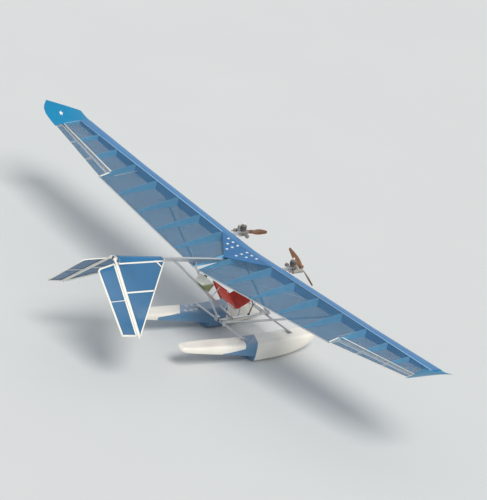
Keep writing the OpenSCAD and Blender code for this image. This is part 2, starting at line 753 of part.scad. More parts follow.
module tail_frame(side) {
    color(white) {
        tail_plane(side) {
            rod(fin_front, fin_tip, edge_d);
            rod(fin_front, fin_root_rear, edge_d);
            pipe(hinge_point(0, -tail_spar_off), fin_tip, tail_spar_d, tube_wall);
            rod(fin_rib_front, fin_rib_rear, fin_rib_d);
            translate(fin_front) sphere(d = edge_d * elbow);
            translate([0, 0, -gusset_t / 2]) linear_extrude(gusset_t) polygon(gusset);
            for (x = tail_hinges) on_line(hinge_point(x, 0), hinge_point(tail_len, 0)) hinge_ears(tail_spar_off);
        }
        tail_lug(side);
    }
}

module tail_film(side) {
    color(film_blue) tail_plane(side) difference() {
        translate([0, 0, -film_t / 2]) linear_extrude(film_t)
            polygon([for (p = [fin_front, fin_tip, fin_root_rear]) [p[0], p[1]]]);
        rod(fin_front, fin_root_rear, edge_d + 2 * fit);
        rod(fin_front, fin_tip, edge_d + 2 * fit);
        rod(hinge_point(0, -tail_spar_off), fin_tip, tail_spar_d + 2 * fit);
        rod(fin_rib_front, fin_rib_rear, fin_rib_d + 2 * fit);
        translate([0, 0, -gusset_t]) linear_extrude(2 * gusset_t) offset(delta = fit) polygon(gusset);
    }
}

// Thin cover over the boom that closes the gap between the two fixed panels
module tail_cover() {
    from = 30;
    to = fin_root - tail_spar_off - tail_lug_l;
    steps = 6;
    corner = [boom_w / 2 + film_t, boom_w / 2 + fit];
    rest = edge_d / 2 + fit;
    function foot(s) = let (u = s / (fin_root - tail_spar_off) * root_spread)
        [tail_x + u * cos(tail_angle) + rest * sin(tail_angle), rest * cos(tail_angle) - u * sin(tail_angle)];
    function half(s, t) = [foot(s) + t * [sin(tail_angle), cos(tail_angle)], corner + [t * 0.4, t]];
    function cover_section(s) =
        let (low = half(s, 0), high = half(s, film_t), y = s - fin_root)
        [[-low[0][0], y, low[0][1]], [-low[1][0], y, low[1][1]], [low[1][0], y, low[1][1]], [low[0][0], y, low[0][1]],
            [high[0][0], y, high[0][1]], [high[1][0], y, high[1][1]],
            [-high[1][0], y, high[1][1]], [-high[0][0], y, high[0][1]]];
    color(deep_blue) placed() translate([0, hinge_y, tail_z]) rotate([boom_rise, 0, 0])
        loft([for (i = [0 : steps]) cover_section(blend(from, to, i / steps))], strip = true);
}

rudder_nose_in = hinge_point(rudder_in, rudder_off);
rudder_nose_out = hinge_point(rudder_out, rudder_off);
rudder_te_out = hinge_point(rudder_out, rudder_tip);
rudder_corner = [rudder_in + rudder_slant, rudder_root - rudder_cut, 0];
rudder_rib_a = blend(rudder_nose_in, rudder_nose_out, 0.51);
rudder_rib_b = blend(rudder_te_in, rudder_te_out, 0.48);
rudder_rib_d = rudder_tube_d * 0.7;
rudder_loop = [rudder_nose_in, rudder_nose_out, rudder_te_out, rudder_te_in, rudder_corner];
rudder_taper = [1, 0.8, 0.9, 0.8, 0.8];
rudder_last = len(rudder_loop) - 1;

// Tubes round the ruddervator, or with some clearance the room they take from its film
module rudder_tubes(gap) {
    for (i = [0 : rudder_last]) {
        rod(rudder_loop[i], rudder_loop[(i + 1) % (rudder_last + 1)], rudder_tube_d * rudder_taper[i] + 2 * gap);
        translate(rudder_loop[i]) sphere(d = rudder_tube_d * elbow + 2 * gap);
    }
    rod(rudder_rib_a, rudder_rib_b, rudder_rib_d + 2 * gap);
}

module ruddervator_frame(side) {
    color(white) tail_plane(side) {
        rudder_tubes(0);
        for (x = tail_hinges) on_line(hinge_point(x, 0), hinge_point(tail_len, 0)) hinge_lug(rudder_off);
    }
}

module ruddervator_film(side) {
    color(film_blue) tail_plane(side) difference() {
        translate([0, 0, -film_t / 2]) linear_extrude(film_t) polygon([for (p = rudder_loop) [p[0], p[1]]]);
        rudder_tubes(fit);
    }
}

// Engines

module engine_mount(side) {
    plate = case_d * 0.9;
    color(silver) sided(side) translate([engine_x, 0, beam_z]) {
        translate([-beam_w / 2, engine_y, -beam_w / 2]) cube([beam_w, socket_y - fit - engine_y, beam_w]);
        translate([-plate / 2, engine_y - flange_t, -plate / 2]) cube([plate, flange_t, plate]);
    }
}

barrel_y = case_y - case_l * 0.45;
port_z = case_d / 2 + 25;
bearing_l = 40;
nut_l = 20;
nut_gap = 2;

// Crankcase along Y with an upright finned cylinder, a carburettor and the propeller shaft
module engine(side) {
    fins = 8;
    fin_t = 4;
    fin_pitch = 11;
    fin_low = case_d / 2 + 12;
    head = fin_low + fins * fin_pitch;
    plug_d = 22;
    plug_h = 35;
    carb_d = 40;
    carb_l = 60;
    carb_in = 12;
    filter_d = 70;
    filter_l = 45;
    shaft_front = prop_y - hub_l - nut_gap - nut_l;
    color([0.35, 0.36, 0.38]) sided(side) translate([engine_x, 0, beam_z]) {
        translate([0, case_y, 0]) rotate([90, 0, 0]) cylinder(d = case_d, h = case_l);
        translate([0, case_y - case_l, 0]) rotate([90, 0, 0]) cylinder(d = case_d * 0.6, h = bearing_l);
        translate([0, case_y, 0]) rotate([90, 0, 0]) cylinder(d = shaft_d, h = case_y - shaft_front);
        translate([0, shaft_front + nut_l, 0]) rotate([90, 0, 0]) cylinder(d = shaft_d * 1.7, h = nut_l);
        translate([0, barrel_y, 0]) {
            cylinder(d = fin_d * 0.7, h = head);
            for (i = [0 : fins - 1]) translate([0, 0, fin_low + i * fin_pitch]) cylinder(d = fin_d, h = fin_t);
            translate([0, 0, head]) cylinder(d = plug_d, h = plug_h);
        }
        translate([carb_in - case_d / 2, barrel_y, 0]) rotate([0, -90, 0]) cylinder(d = carb_d, h = carb_in + carb_l);
        translate([-case_d / 2 - carb_l, barrel_y, 0]) rotate([0, -90, 0]) cylinder(d = filter_d, h = filter_l);
    }
}

// Muffler slung beside the crankcase on its stub pipe, with a short tail pipe
module exhaust(side) {
    can_d = 76;
    can_l = 230;
    can_gap = 30;
    can_back = 20;
    stub_d = 32;
    tail_d = 24;
    tail_l = 70;
    can_x = case_d / 2 + can_d / 2 + can_gap;
    color([0.6, 0.6, 0.6]) sided(side) translate([engine_x, 0, beam_z]) {
        translate([can_x, case_y + can_back, 0]) rotate([90, 0, 0]) cylinder(d = can_d, h = can_l);
        translate([can_x, case_y + can_back, 0]) rotate([-90, 0, 0]) cylinder(d = tail_d, h = tail_l);
        translate([can_x, barrel_y, 0]) cylinder(d = stub_d, h = port_z);
        translate([can_x, barrel_y, port_z]) sphere(d = stub_d * elbow);
        translate([fin_d / 2 + fit, barrel_y, port_z]) rotate([0, 90, 0])
            cylinder(d = stub_d, h = can_x - fin_d / 2 - fit);
    }
}

// Two twisted blades on a bored hub
module propeller(side) {
    tip_r = prop_d / 2;
    rows = [hub_d * 0.44 / tip_r, 0.14, 0.2, 0.3, 0.45, 0.6, 0.75, 0.9, 1];
    steps = 8;
    function blade_chord(r) = 46 + 62 * sin(180 * pow(r, 0.75)) + 8 * (1 - r);
    function blade_twist(r) = 60 - 46 * pow(r, 0.6);
    function blade_section(r) =
        let (chord = blade_chord(r), turn = blade_twist(r), thick = blend(22, 5, pow(r, 0.6)))
        [for (i = [0 : 2 * steps - 1])
            let (a = i * 180 / steps, u = cos(a) * chord / 2, v = sin(a) * thick / 2)
            [r * tip_r, u * sin(turn) + v * cos(turn), u * cos(turn) - v * sin(turn)]];
    color([0.45, 0.30, 0.18]) sided(side) translate([engine_x, prop_y - hub_l / 2, beam_z])
        rotate([0, 25, 0]) difference() {
            union() {
                rotate([90, 0, 0]) cylinder(d = hub_d, h = hub_l, center = true);
                for (t = [0, 180]) rotate([0, t, 0]) loft([for (r = rows) blade_section(r)]);
            }
            rotate([90, 0, 0]) cylinder(d = shaft_d + 2 * pin_clear, h = hub_l + 200, center = true);
        }
}

// Floats

// Stations of a float: along the length, keel height, rise of the chine, half width share, deck height
fore_rows = [
    [bow_y, 352, 6, 0.12, 376],
    [bow_y + 20, 330, 18, 0.38, 393],
    [bow_y + 90, 268, 36, 0.68, 402],
    [bow_y + 250, 160, 50, 0.90, deck_z],
    [bow_y + 550, 66, 54, 1, deck_z],
    [bow_y + 900, 12, 51, 1, deck_z],
    [bow_y + 1200, 0, 48, 1, deck_z],
    [step_y, 0, 46, 1, deck_z]];
aft_rows = [
    [step_y + 4, step_h, 40, 1, deck_z],
    [blend(step_y, stern_y, 0.18), step_h + 58, 40, 0.99, deck_z],
    [blend(step_y, stern_y, 0.36), step_h + 118, 40, 0.97, blend(deck_z, stern_z, 0.22)],
    [blend(step_y, stern_y, 0.7), step_h + 205, 38, 0.84, blend(deck_z, stern_z, 0.66)],
    [blend(step_y, stern_y, 0.92), step_h + 268, 32, 0.66, stern_z - 10],
    [blend(step_y, stern_y, 0.98), step_h + 297, 24, 0.46, stern_z - 28],
    [stern_y, step_h + 330, 10, 0.18, stern_z - 68]];
// Outline of one side from the chine to the deck: share of the half width, share of the height
float_side = [[0.93, 0], [1, 0.3], [0.99, 0.62], [0.93, 0.86], [0.80, 0.965], [0.60, 1]];

// Rows of a table with a smooth curve's points put between them
function smooth(rows, parts) =
    let (last = len(rows) - 1)
    concat([for (k = [0 : last - 1]) for (i = [0 : parts - 1])
        let (t = i / parts, a = rows[max(k - 1, 0)], b = rows[k], c = rows[k + 1], d = rows[min(k + 2, last)])
        b + (c - a) / 2 * t + (a - 2.5 * b + 2 * c - d / 2) * t * t + (1.5 * (b - c) + (d - a) / 2) * t * t * t],
        [rows[last]]);

function float_section(row) =
    let (half = float_w / 2 * row[3], low = row[1] + row[2], rise = row[4] - low,
        side = smooth(float_side, 2), top = len(side) - 1)
    concat([[0, row[0], row[1]]],
        [for (p = side) [p[0] * half, row[0], low + p[1] * rise]],
        [for (i = [top : -1 : 0]) [-side[i][0] * half, row[0], low + side[i][1] * rise]]);

// Fore rows keep their keel on the ground, and aft rows their deck flat below the spreader bar's foot
module float(side) {
    parts = 3;
    rows = concat(
        [for (row = smooth(fore_rows, parts)) [row[0], max(row[1], 0), row[2], row[3], row[4]]],
        [for (row = smooth(aft_rows, parts)) [row[0], row[1], row[2], row[3], max(row[4], deck_z)]]);
    color(white) sided(side) translate([float_x, 0, 0]) loft([for (row = rows) float_section(row)]);
}

// Bar across the floats with a welded foot on each deck
module spreader(y) {
    foot_x = 90;
    foot_y = 110;
    web_t = 24;
    reach = float_x + foot_x / 2;
    color(silver) placed() {
        pipe([-reach, y, bar_z], [reach, y, bar_z], spreader_d, tube_wall);
        for (s = [-1, 1]) {
            translate([s * float_x - foot_x / 2, y - foot_y / 2, deck_z + fit]) cube([foot_x, foot_y, foot_t]);
            translate([s * float_x - foot_x / 2, y - web_t / 2, deck_z + fit])
                cube([foot_x, web_t, foot_t + spreader_d / 2]);
        }
        children();
    }
}

// The front bar carries a towing eye on the centre line
tow_bore = 16;
tow_t = 10;
tow_out = 26;

module spreader_front() {
    eye_y = spreader_front_y - spreader_d / 2 - tow_out;
    spreader(spreader_front_y) color(silver) translate([0, 0, bar_z]) difference() {
        union() {
            translate([-tow_t / 2, eye_y, 0]) rotate([0, 90, 0]) cylinder(d = 2 * tow_bore, h = tow_t);
            translate([-tow_t / 2, eye_y, -tow_bore]) cube([tow_t, tow_out + tow_bore / 4, 2 * tow_bore]);
        }
        translate([-tow_t, eye_y, 0]) rotate([0, 90, 0]) cylinder(d = tow_bore, h = 2 * tow_t);
    }
}

module spreader_rear() { spreader(spreader_rear_y); }

boom();
keel_tube();
front_tube();
rear_brace();
frame_joints();
root_fittings();
centre_patch();
seat_frame();
seat_sling();
fuel_tank();
control_stick();
rudder_bar();
wing_nose(1);  // wing_nose_l
wing_nose(-1);  // wing_nose_r
wing_ribs(1);  // wing_ribs_l
wing_ribs(-1);  // wing_ribs_r
wing_edge(1);  // wing_edge_l
wing_edge(-1);  // wing_edge_r
wing_film(1);  // wing_film_l
wing_film(-1);  // wing_film_r
wing_tip(1);  // wing_tip_l
wing_tip(-1);  // wing_tip_r
lift_strut(1);  // lift_strut_l
lift_strut(-1);  // lift_strut_r
aileron_frame(1);  // aileron_frame_l
aileron_frame(-1);  // aileron_frame_r
aileron_film(1);  // aileron_film_l
aileron_film(-1);  // aileron_film_r
tail_frame(1);  // tail_frame_l
tail_frame(-1);  // tail_frame_r
tail_film(1);  // tail_film_l
tail_film(-1);  // tail_film_r
tail_cover();
ruddervator_frame(1);  // ruddervator_frame_l
ruddervator_frame(-1);  // ruddervator_frame_r
ruddervator_film(1);  // ruddervator_film_l
ruddervator_film(-1);  // ruddervator_film_r
engine_mount(1);  // engine_mount_l
engine_mount(-1);  // engine_mount_r
engine(1);  // engine_l
engine(-1);  // engine_r
exhaust(1);  // exhaust_l
exhaust(-1);  // exhaust_r
propeller(1);  // propeller_l
propeller(-1);  // propeller_r
float(1);  // float_l
float(-1);  // float_r
spreader_front();
spreader_rear();
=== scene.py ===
"""Looks of a twin-engined ultralight floatplane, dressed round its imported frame."""
import json
import math

import bpy
from mathutils import Matrix, Vector
from mathutils.bvhtree import BVHTree


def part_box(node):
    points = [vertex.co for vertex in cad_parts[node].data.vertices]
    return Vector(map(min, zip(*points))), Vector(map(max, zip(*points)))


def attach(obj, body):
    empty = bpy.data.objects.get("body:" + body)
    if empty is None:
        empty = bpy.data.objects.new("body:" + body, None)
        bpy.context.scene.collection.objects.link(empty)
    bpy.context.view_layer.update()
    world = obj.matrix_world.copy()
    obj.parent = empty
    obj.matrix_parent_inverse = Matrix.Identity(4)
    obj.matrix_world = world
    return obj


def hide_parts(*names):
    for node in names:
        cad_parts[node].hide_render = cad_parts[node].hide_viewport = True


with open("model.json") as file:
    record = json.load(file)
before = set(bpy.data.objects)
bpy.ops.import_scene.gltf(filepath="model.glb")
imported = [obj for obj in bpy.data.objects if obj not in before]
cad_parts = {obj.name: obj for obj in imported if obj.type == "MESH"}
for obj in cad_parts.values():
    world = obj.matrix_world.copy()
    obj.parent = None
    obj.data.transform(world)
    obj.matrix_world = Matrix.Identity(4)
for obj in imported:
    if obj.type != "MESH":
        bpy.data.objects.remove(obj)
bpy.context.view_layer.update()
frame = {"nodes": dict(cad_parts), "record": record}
nodes = frame["nodes"]
SIDES = {"l": 1, "r": -1}
LONG_SIDE = {"l": "left", "r": "right"}
AIRFRAME = "airframe"


def middle_z(node):
    """Height of the middle of a node's box."""
    return sum(corner.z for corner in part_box(node)) / 2


# Wing sizes in metres: x from the centre line, and y aft from the spar, which is at SPAR_Y in the frame
ROOT_X = 0.075
INNER_BAY = 0.663
INNER_BAYS = 5
OUTER_BAYS = 3
KINK_X = ROOT_X + INNER_BAYS * INNER_BAY
TIP_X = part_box("wing_nose_l")[1].x
SPAR_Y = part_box("wing_nose_l")[1].y
SPAR_Z = 1.874
DIHEDRAL = math.radians(2.3)
# Chord behind the spar, trailing edge drop and nose depth at the root, kink and tip
AFT = (1.180, 0.851, 0.597)
DROP = (0.216, 0.171, 0.049)
DEPTH = (0.180, 0.174, 0.076)
NOSE_LEN = SPAR_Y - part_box("wing_nose_l")[0].y
CAMBER = 0.020
EDGE_D = 0.020
SWING_GAP = 0.011
BAY_SAG = 0.007
# Shares of the chord: the aileron's hinge, and where film ends ahead of it and starts behind it
HINGE_SHARE = 0.71
FILM_END_SHARE = HINGE_SHARE - 0.012
FILM_START_SHARE = HINGE_SHARE + 0.03

# Thicknesses of film, patches, tapes, stars and cloth, and how far they lie off what is below them
FIT = 0.0003
FILM_T = 0.0015
SKIN = FILM_T + FIT
SHEET_T = 0.6 * FILM_T
PATCH_T = 0.0006
PATCH_LIFT = 0.0014
TAPE_T = 0.0005
TAPE_LIFT = 0.0012
STAR_T = 0.0008
STAR_LIFT = 0.0012
CLOTH_T = 0.0016

# Boom and tail sizes: each panel has its own plane, x outboard along it and y aft from the hinge line
BOOM_Z = 1.668
BOOM_RISE = math.radians(8.25)
BOOM_HALF = 0.032
TAIL_ARM = 3.250
HINGE_Y = SPAR_Y + TAIL_ARM
TAIL_Z = BOOM_Z + TAIL_ARM * math.tan(BOOM_RISE)
TAIL_ANGLE = math.radians(43.3)
TAIL_LEN = 1.500
TIP_RAKE = 0.136
RAKE = math.tan(math.asin(TIP_RAKE / TAIL_LEN))
TAIL_SAG = 0.003
FIN_ROOT = 1.240
FIN_EDGE_R = 0.014
FIN_ROOT_R = 1.2 * FIN_EDGE_R
TAIL_X = BOOM_HALF + FIN_ROOT_R + FIT
TAIL_SPAR_R = 0.020
TAIL_SPAR_OFF = 0.035
ROOT_SPREAD = 0.080
RUDDER_R = 0.011
RUDDER_END_R = 0.8 * RUDDER_R
RUDDER_EDGE_R = 0.9 * RUDDER_R
RUDDER_OFF = 0.026
RUDDER_IN = 0.095
RUDDER_OUT = 1.454
RUDDER_SLANT = 0.100
RUDDER_CUT = 0.045
RUDDER_ROOT = 0.427
RUDDER_TIP = 0.356
RUDDER_SAG = 0.5 * TAIL_SAG

# Rear brace, seat and tank sizes: y along the brace, and z off it towards the sitter
KEEL_Z = middle_z("keel_tube")
BRACE_ANGLE = math.radians(38.7)
BRACE_TOP_Y = 1.770
BRACE_RISE = BOOM_Z + BRACE_TOP_Y * math.tan(BOOM_RISE) - KEEL_Z
BRACE_Y = BRACE_TOP_Y - BRACE_RISE / math.tan(BRACE_ANGLE)
SEAT_LOW = Vector((0, 0.334, 0.132))
SEAT_BACK = 0.508
SEAT_BASE = 0.350
SEAT_LEAN = math.radians(15)
SEAT_TILT = math.radians(28)
SEAT_TUBE_X = 0.215
SEAT_TUBE_R = 0.0125
TANK_CAP_AT = Vector((0, 1.327, 0.2123))
# The tank turns olive below this height: fuel seen through the plastic, and painted shade on the tank's lower
# part
FUEL_AND_SHADE_Z = middle_z("fuel_tank") + 0.02
FUEL_AND_SHADE_BLUR = 0.02

# Floats: x from the centre line, the deck's height at one station, its rise aft and the paint's gap below it
FLOAT_X = 0.677
DECK_Z = 0.405
DECK_Y = 0.5
DECK_RISE = 0.11
DECK_GAP = 0.010
# Float blue, by stations aft of the spar: the blue run's edges on the float's centre line, how far they run
# forward for each metre to the left of it, the blue wedge's two ends, and its upper edge's heights there.
# On the left float the blue run's part forward of the deck stars is painted shadow of the blue wing.
FLOAT_PAINT_AND_SHADOW = {
    # Left float: blue from 0.665 forward to -0.50; forward of the deck stars this blue is painted shadow of
    # the blue wing
    "l": dict(blue_run=(-0.50, 0.665), skew=0.76, wedge=(0.40, 1.30), brow=(0.450, 0.412)),
    "r": dict(blue_run=(-0.080, 0.206), skew=0.48, wedge=(0.10, 0.822), brow=(0.345, 0.292)),
}


# Colours are written as they look on screen


def linear(colour):
    """A screen colour as the shader's linear colour."""
    return [c / 12.92 if c <= 0.04045 else ((c + 0.055) / 1.055) ** 2.4 for c in colour]


WHITE = (0.93, 0.92, 0.89)
TAPE = (0.96, 0.95, 0.91)
STAR = (0.97, 0.97, 0.96)
FLOAT_WHITE = (0.95, 0.93, 0.89)
# Blue of the floats' paint, also used on the left float as painted shadow of the blue wing
FLOAT_BLUE = (0.36, 0.53, 0.67)
FILM_BLUE = (0.24, 0.47, 0.62)
# The lower film is the same film as the top, painted a deeper blue: painted shade that darkens the bays seen
# through the wing
SHADED_LOW_FILM_BLUE = (0.13, 0.42, 0.60)
NOSE_BLUE = (0.24, 0.49, 0.70)
SPAR_PALE = (0.60, 0.78, 0.92)
RIB_BLUE = (0.48, 0.77, 0.92)
PATCH_BLUE = (0.15, 0.45, 0.68)
TIP_BLUE = (0.03, 0.51, 0.69)
TAIL_BLUE = (0.10, 0.43, 0.63)
ALLOY = (0.80, 0.81, 0.82)
SEAT_RED = (0.85, 0.20, 0.09)
STITCH_PINK = (0.86, 0.50, 0.42)
TANK_MILK = (0.92, 0.92, 0.87)
# Olive of the tank's lower part: fuel through the plastic, and painted shade
TANK_FUEL_AND_SHADE_OLIVE = (0.52, 0.54, 0.34)
CAST_GREY = (0.60, 0.58, 0.56)
STEEL = (0.70, 0.68, 0.65)
WOOD = (0.50, 0.32, 0.17)
BLACK = (0.07, 0.07, 0.08)
CERAMIC = (0.95, 0.94, 0.90)
FLOOR_PALE = (0.85, 0.86, 0.86)
SKY_PALE = (0.90, 0.91, 0.92)
SKY_COOL = (0.96, 0.98, 1.0)


# Materials

# Noise between these two values takes the colour from its darker to its lighter shade
SHADE_ENDS = (0.3, 0.7)
GLOSS_SPREAD = 0.07


class Shader:
    """A Principled material with helpers that add its procedural detail."""

    def __init__(self, name):
        self.material = bpy.data.materials.new(name)
        self.material.use_nodes = True
        self.tree = self.material.node_tree
        self.principled = self.tree.nodes["Principled BSDF"]
        self.coords = self.node("ShaderNodeTexCoord").outputs["Object"]

    def node(self, kind, **values):
        made = self.tree.nodes.new(kind)
        for name, value in values.items():
            setattr(made, name, value)
        return made

    def link(self, output, target):
        self.tree.links.new(output, target)

    def set(self, **values):
        for name, value in values.items():
            self.principled.inputs[name.replace("_", " ")].default_value = value

    def noise(self, scale, detail=4.0, stretch=(1, 1, 1)):
        mapping = self.node("ShaderNodeMapping")
        mapping.inputs["Scale"].default_value = stretch
        self.link(self.coords, mapping.inputs["Vector"])
        made = self.node("ShaderNodeTexNoise")
        made.inputs["Scale"].default_value = scale
        made.inputs["Detail"].default_value = detail
        self.link(mapping.outputs["Vector"], made.inputs["Vector"])
        return made.outputs["Fac"]

    def wave(self, direction, scale, distortion=0.0):
        made = self.node("ShaderNodeTexWave", bands_direction=direction)
        made.inputs["Scale"].default_value = scale
        made.inputs["Distortion"].default_value = distortion
        self.link(self.coords, made.inputs["Vector"])
        return made.outputs["Fac"]

    def axis(self, name):
        """The part's x, y or z at each point."""
        split = self.node("ShaderNodeSeparateXYZ")
        self.link(self.coords, split.inputs["Vector"])
        return split.outputs[name]

    def shades(self, factor, colour, spread):
        """Colour that goes from a darker to a lighter shade with the factor."""
        ramp = self.node("ShaderNodeValToRGB")
        ends = zip(ramp.color_ramp.elements, (1 - spread, 1 + spread), SHADE_ENDS)
        for element, share, position in ends:
            element.color = [min(c * share, 1) for c in linear(colour)] + [1]
            element.position = position
        self.link(factor, ramp.inputs["Fac"])
        return ramp.outputs["Color"]

    def mix(self, factor, first, second):
        made = self.node("ShaderNodeMix", data_type="RGBA")
        self.link(factor, made.inputs["Factor"])
        self.link(first, made.inputs["A"])
        self.link(second, made.inputs["B"])
        return made.outputs["Result"]

    def math(self, operation, first, second):
        made = self.node("ShaderNodeMath", operation=operation)
        for value, socket in zip((first, second), made.inputs):
            if isinstance(value, (int, float)):
                socket.default_value = value
            else:
                self.link(value, socket)
        return made.outputs["Value"]

    def straight(self, value, slope, start):
        """A straight line: start plus the slope times the value."""
        return self.math("ADD", self.math("MULTIPLY", value, slope), start)

    def between(self, value, low, high):
        """1 where the value lies between two others, and 0 elsewhere."""
        above = self.math("GREATER_THAN", value, low)
        below = self.math("LESS_THAN", value, high)
        return self.math("MULTIPLY", above, below)

    def spread(self, factor, low, high, start=0.0, end=1.0):
        """The factor's run from start to end laid out from low to high."""
        made = self.node("ShaderNodeMapRange")
        for name, value in (("From Min", start), ("From Max", end), ("To Min", low), ("To Max", high)):
            made.inputs[name].default_value = value
        self.link(factor, made.inputs["Value"])
        return made.outputs["Result"]

    def rough(self, factor, low, high):
        self.link(self.spread(factor, low, high), self.principled.inputs["Roughness"])

    def colour(self, output):
        self.link(output, self.principled.inputs["Base Color"])

    def bump(self, height, strength, distance):
        made = self.node("ShaderNodeBump")
        made.inputs["Strength"].default_value = strength
        made.inputs["Distance"].default_value = distance
        self.link(height, made.inputs["Height"])
        self.link(made.outputs["Normal"], self.principled.inputs["Normal"])


def plain(name, colour, roughness, metallic=0.0, coat=0.0, shine=0.5,
          spread=0.06, scale=4.0, grain=90.0, depth=0.0006):
    """A finish with clouded colour, uneven gloss and a fine grain."""
    made = Shader(name)
    made.set(Metallic=metallic, Coat_Weight=coat, Specular_IOR_Level=shine)
    made.colour(made.shades(made.noise(scale), colour, spread))
    made.rough(made.noise(5 * scale), low=roughness - GLOSS_SPREAD, high=roughness + GLOSS_SPREAD)
    made.bump(made.noise(grain, detail=6.0), strength=0.25, distance=depth)
    return made


def film(name, colour, alpha, spread=0.10, wrinkle=(5.0, 0.6, 1.0)):
    """Taut film with long tension wrinkles; the wrinkle gives how close they lie along x, y and z."""
    made = Shader(name)
    made.set(Alpha=alpha, Coat_Weight=0.12, Coat_Roughness=0.25)
    made.colour(made.shades(made.noise(1.3, detail=3.0), colour, spread))
    made.rough(made.noise(5.0), low=0.30, high=0.42)
    made.bump(made.noise(2.0, detail=1.0, stretch=wrinkle), strength=0.10, distance=0.003)
    return made


def woven(name, colour):
    """Cloth with a square weave and worn, paler patches."""
    threads = 160.0
    made = Shader(name)
    made.set(Sheen_Weight=0.3)
    made.colour(made.shades(made.noise(7.0), colour, spread=0.16))
    made.rough(made.noise(30.0), low=0.68, high=0.86)
    weave = made.math("MULTIPLY", made.wave("X", threads), made.wave("Y", threads))
    made.bump(weave, strength=0.5, distance=0.0008)
    return made


def grained_wood(name, colour):
    """Laminated wood with rings along the blade and a varnish coat."""
    made = Shader(name)
    made.set(Coat_Weight=0.6, Coat_Roughness=0.15)
    made.colour(made.shades(made.wave("Y", 60.0, distortion=3.0), colour, spread=0.30))
    made.rough(made.noise(20.0), low=0.30, high=0.45)
    return made


def milky_tank(name):
    """Thin moulded plastic, milky above a set height and olive below it: fuel seen through the plastic, and
    painted shade on the tank's lower part.
    """
    made = Shader(name)
    made.set(Coat_Weight=0.2, Coat_Roughness=0.25)
    clouds = made.noise(8.0)
    milk = made.shades(clouds, TANK_MILK, spread=0.05)
    olive = made.shades(clouds, TANK_FUEL_AND_SHADE_OLIVE, spread=0.10)
    # Olive below the set height stands for fuel and painted shade together
    fuel_and_shade = made.spread(made.axis("Z"), 1.0, 0.0, start=FUEL_AND_SHADE_Z - FUEL_AND_SHADE_BLUR, end=FUEL_AND_SHADE_Z + FUEL_AND_SHADE_BLUR)
    made.colour(made.mix(fuel_and_shade, milk, olive))
    made.rough(made.noise(24.0), low=0.34, high=0.48)
    made.bump(made.noise(140.0, detail=6.0), strength=0.25, distance=0.0006)
    return made


def painted_float(name, side, blue_run, skew, wedge, brow):
    """White shell with a blue run across it and a blue wedge aft, below its brow and the deck; on the left
    float the run's part forward of the deck stars is painted shadow of the blue wing.
    """
    made = Shader(name)
    made.set(Coat_Weight=0.5, Coat_Roughness=0.08)
    y = made.math("SUBTRACT", made.axis("Y"), SPAR_Y)
    off = made.math("SUBTRACT", made.axis("X"), side * FLOAT_X)
    station = made.math("ADD", y, made.math("MULTIPLY", off, skew))
    slope = (brow[1] - brow[0]) / (wedge[1] - wedge[0])
    edge = made.straight(y, slope, brow[0] - slope * wedge[0])
    deck = made.straight(y, DECK_RISE, DECK_Z - DECK_GAP - DECK_RISE * DECK_Y)
    below = made.math("LESS_THAN", made.axis("Z"), made.math("MINIMUM", edge, deck))
    in_wedge = made.math("MULTIPLY", made.between(y, *wedge), below)
    # On the left float the run's part forward of the deck stars is painted shadow of the blue wing
    mask = made.math("MAXIMUM", made.between(station, *blue_run), in_wedge)
    clouds = made.noise(2.5)
    white = made.shades(clouds, FLOAT_WHITE, spread=0.04)
    blue = made.shades(clouds, FLOAT_BLUE, spread=0.08)
    made.colour(made.mix(mask, white, blue))
    made.rough(made.noise(9.0), low=0.22, high=0.38)
    made.bump(made.noise(2.2, detail=2.0), strength=0.15, distance=0.004)
    return made


LOOKS = {
    "alloy_tube": plain("alloy_tube_look", ALLOY, 0.36, metallic=1.0,
                        spread=0.05, scale=6.0, grain=160.0, depth=0.0003),
    "nose_skin": plain("nose_skin_look", NOSE_BLUE, 0.38, coat=0.06, shine=0.25,
                       spread=0.07, scale=1.6, grain=24.0, depth=0.001),
    "deep_blue": plain("deep_blue_look", TIP_BLUE, 0.36, coat=0.08, shine=0.3,
                       spread=0.08, scale=2.2, grain=30.0, depth=0.001),
    "rib_foam": plain("rib_foam_look", RIB_BLUE, 0.6, spread=0.08, scale=9.0, grain=240.0),
    "white_tube": plain("white_tube_look", WHITE, 0.32,
                        spread=0.05, scale=6.0, grain=160.0, depth=0.0003),
    "tank_plastic": milky_tank("tank_plastic_look"),
    "black_grip": plain("black_grip_look", BLACK, 0.55, spread=0.15, scale=20.0, grain=300.0),
    "engine_metal": plain("engine_metal_look", CAST_GREY, 0.45, metallic=0.9,
                          spread=0.14, scale=18.0, grain=260.0),
    "exhaust_metal": plain("exhaust_metal_look", STEEL, 0.34, metallic=1.0, spread=0.16, scale=12.0),
    "propeller_wood": grained_wood("propeller_wood_look", WOOD),
    "clear_film": film("clear_film_look", FILM_BLUE, alpha=0.27),
    "seat_cloth": woven("seat_cloth_look", SEAT_RED),
}
OUTER_FILM = film("outer_film_look", FILM_BLUE, alpha=0.22)
# Lower film, deeper and denser blue than the top film: painted shade under the wing
SHADED_LOW_FILM = film("shaded_low_film_look", SHADED_LOW_FILM_BLUE, alpha=0.52)
TAIL_FILM = film("tail_film_look", TAIL_BLUE, alpha=0.66, wrinkle=(1.2, 3.0, 2.0))
COVER_FILM = film("cover_film_look", TAIL_BLUE, alpha=0.92, wrinkle=(3.0, 1.0, 1.0))
PATCH_FILM = film("patch_film_look", PATCH_BLUE, alpha=0.84)
LOW_PATCH_FILM = film("low_patch_film_look", PATCH_BLUE, alpha=0.45)
SPAR_TAPE = plain("spar_tape_look", SPAR_PALE, 0.35, coat=0.2, spread=0.04)
WHITE_TAPE = plain("white_tape_look", TAPE, 0.42, spread=0.04, scale=9.0, grain=400.0)
STITCH = plain("stitch_look", STITCH_PINK, 0.7, spread=0.06, grain=600.0)
STAR_WHITE = plain("star_white_look", STAR, 0.35, spread=0.02)
PLUG_CERAMIC = plain("plug_ceramic_look", CERAMIC, 0.25, coat=0.5, spread=0.02)
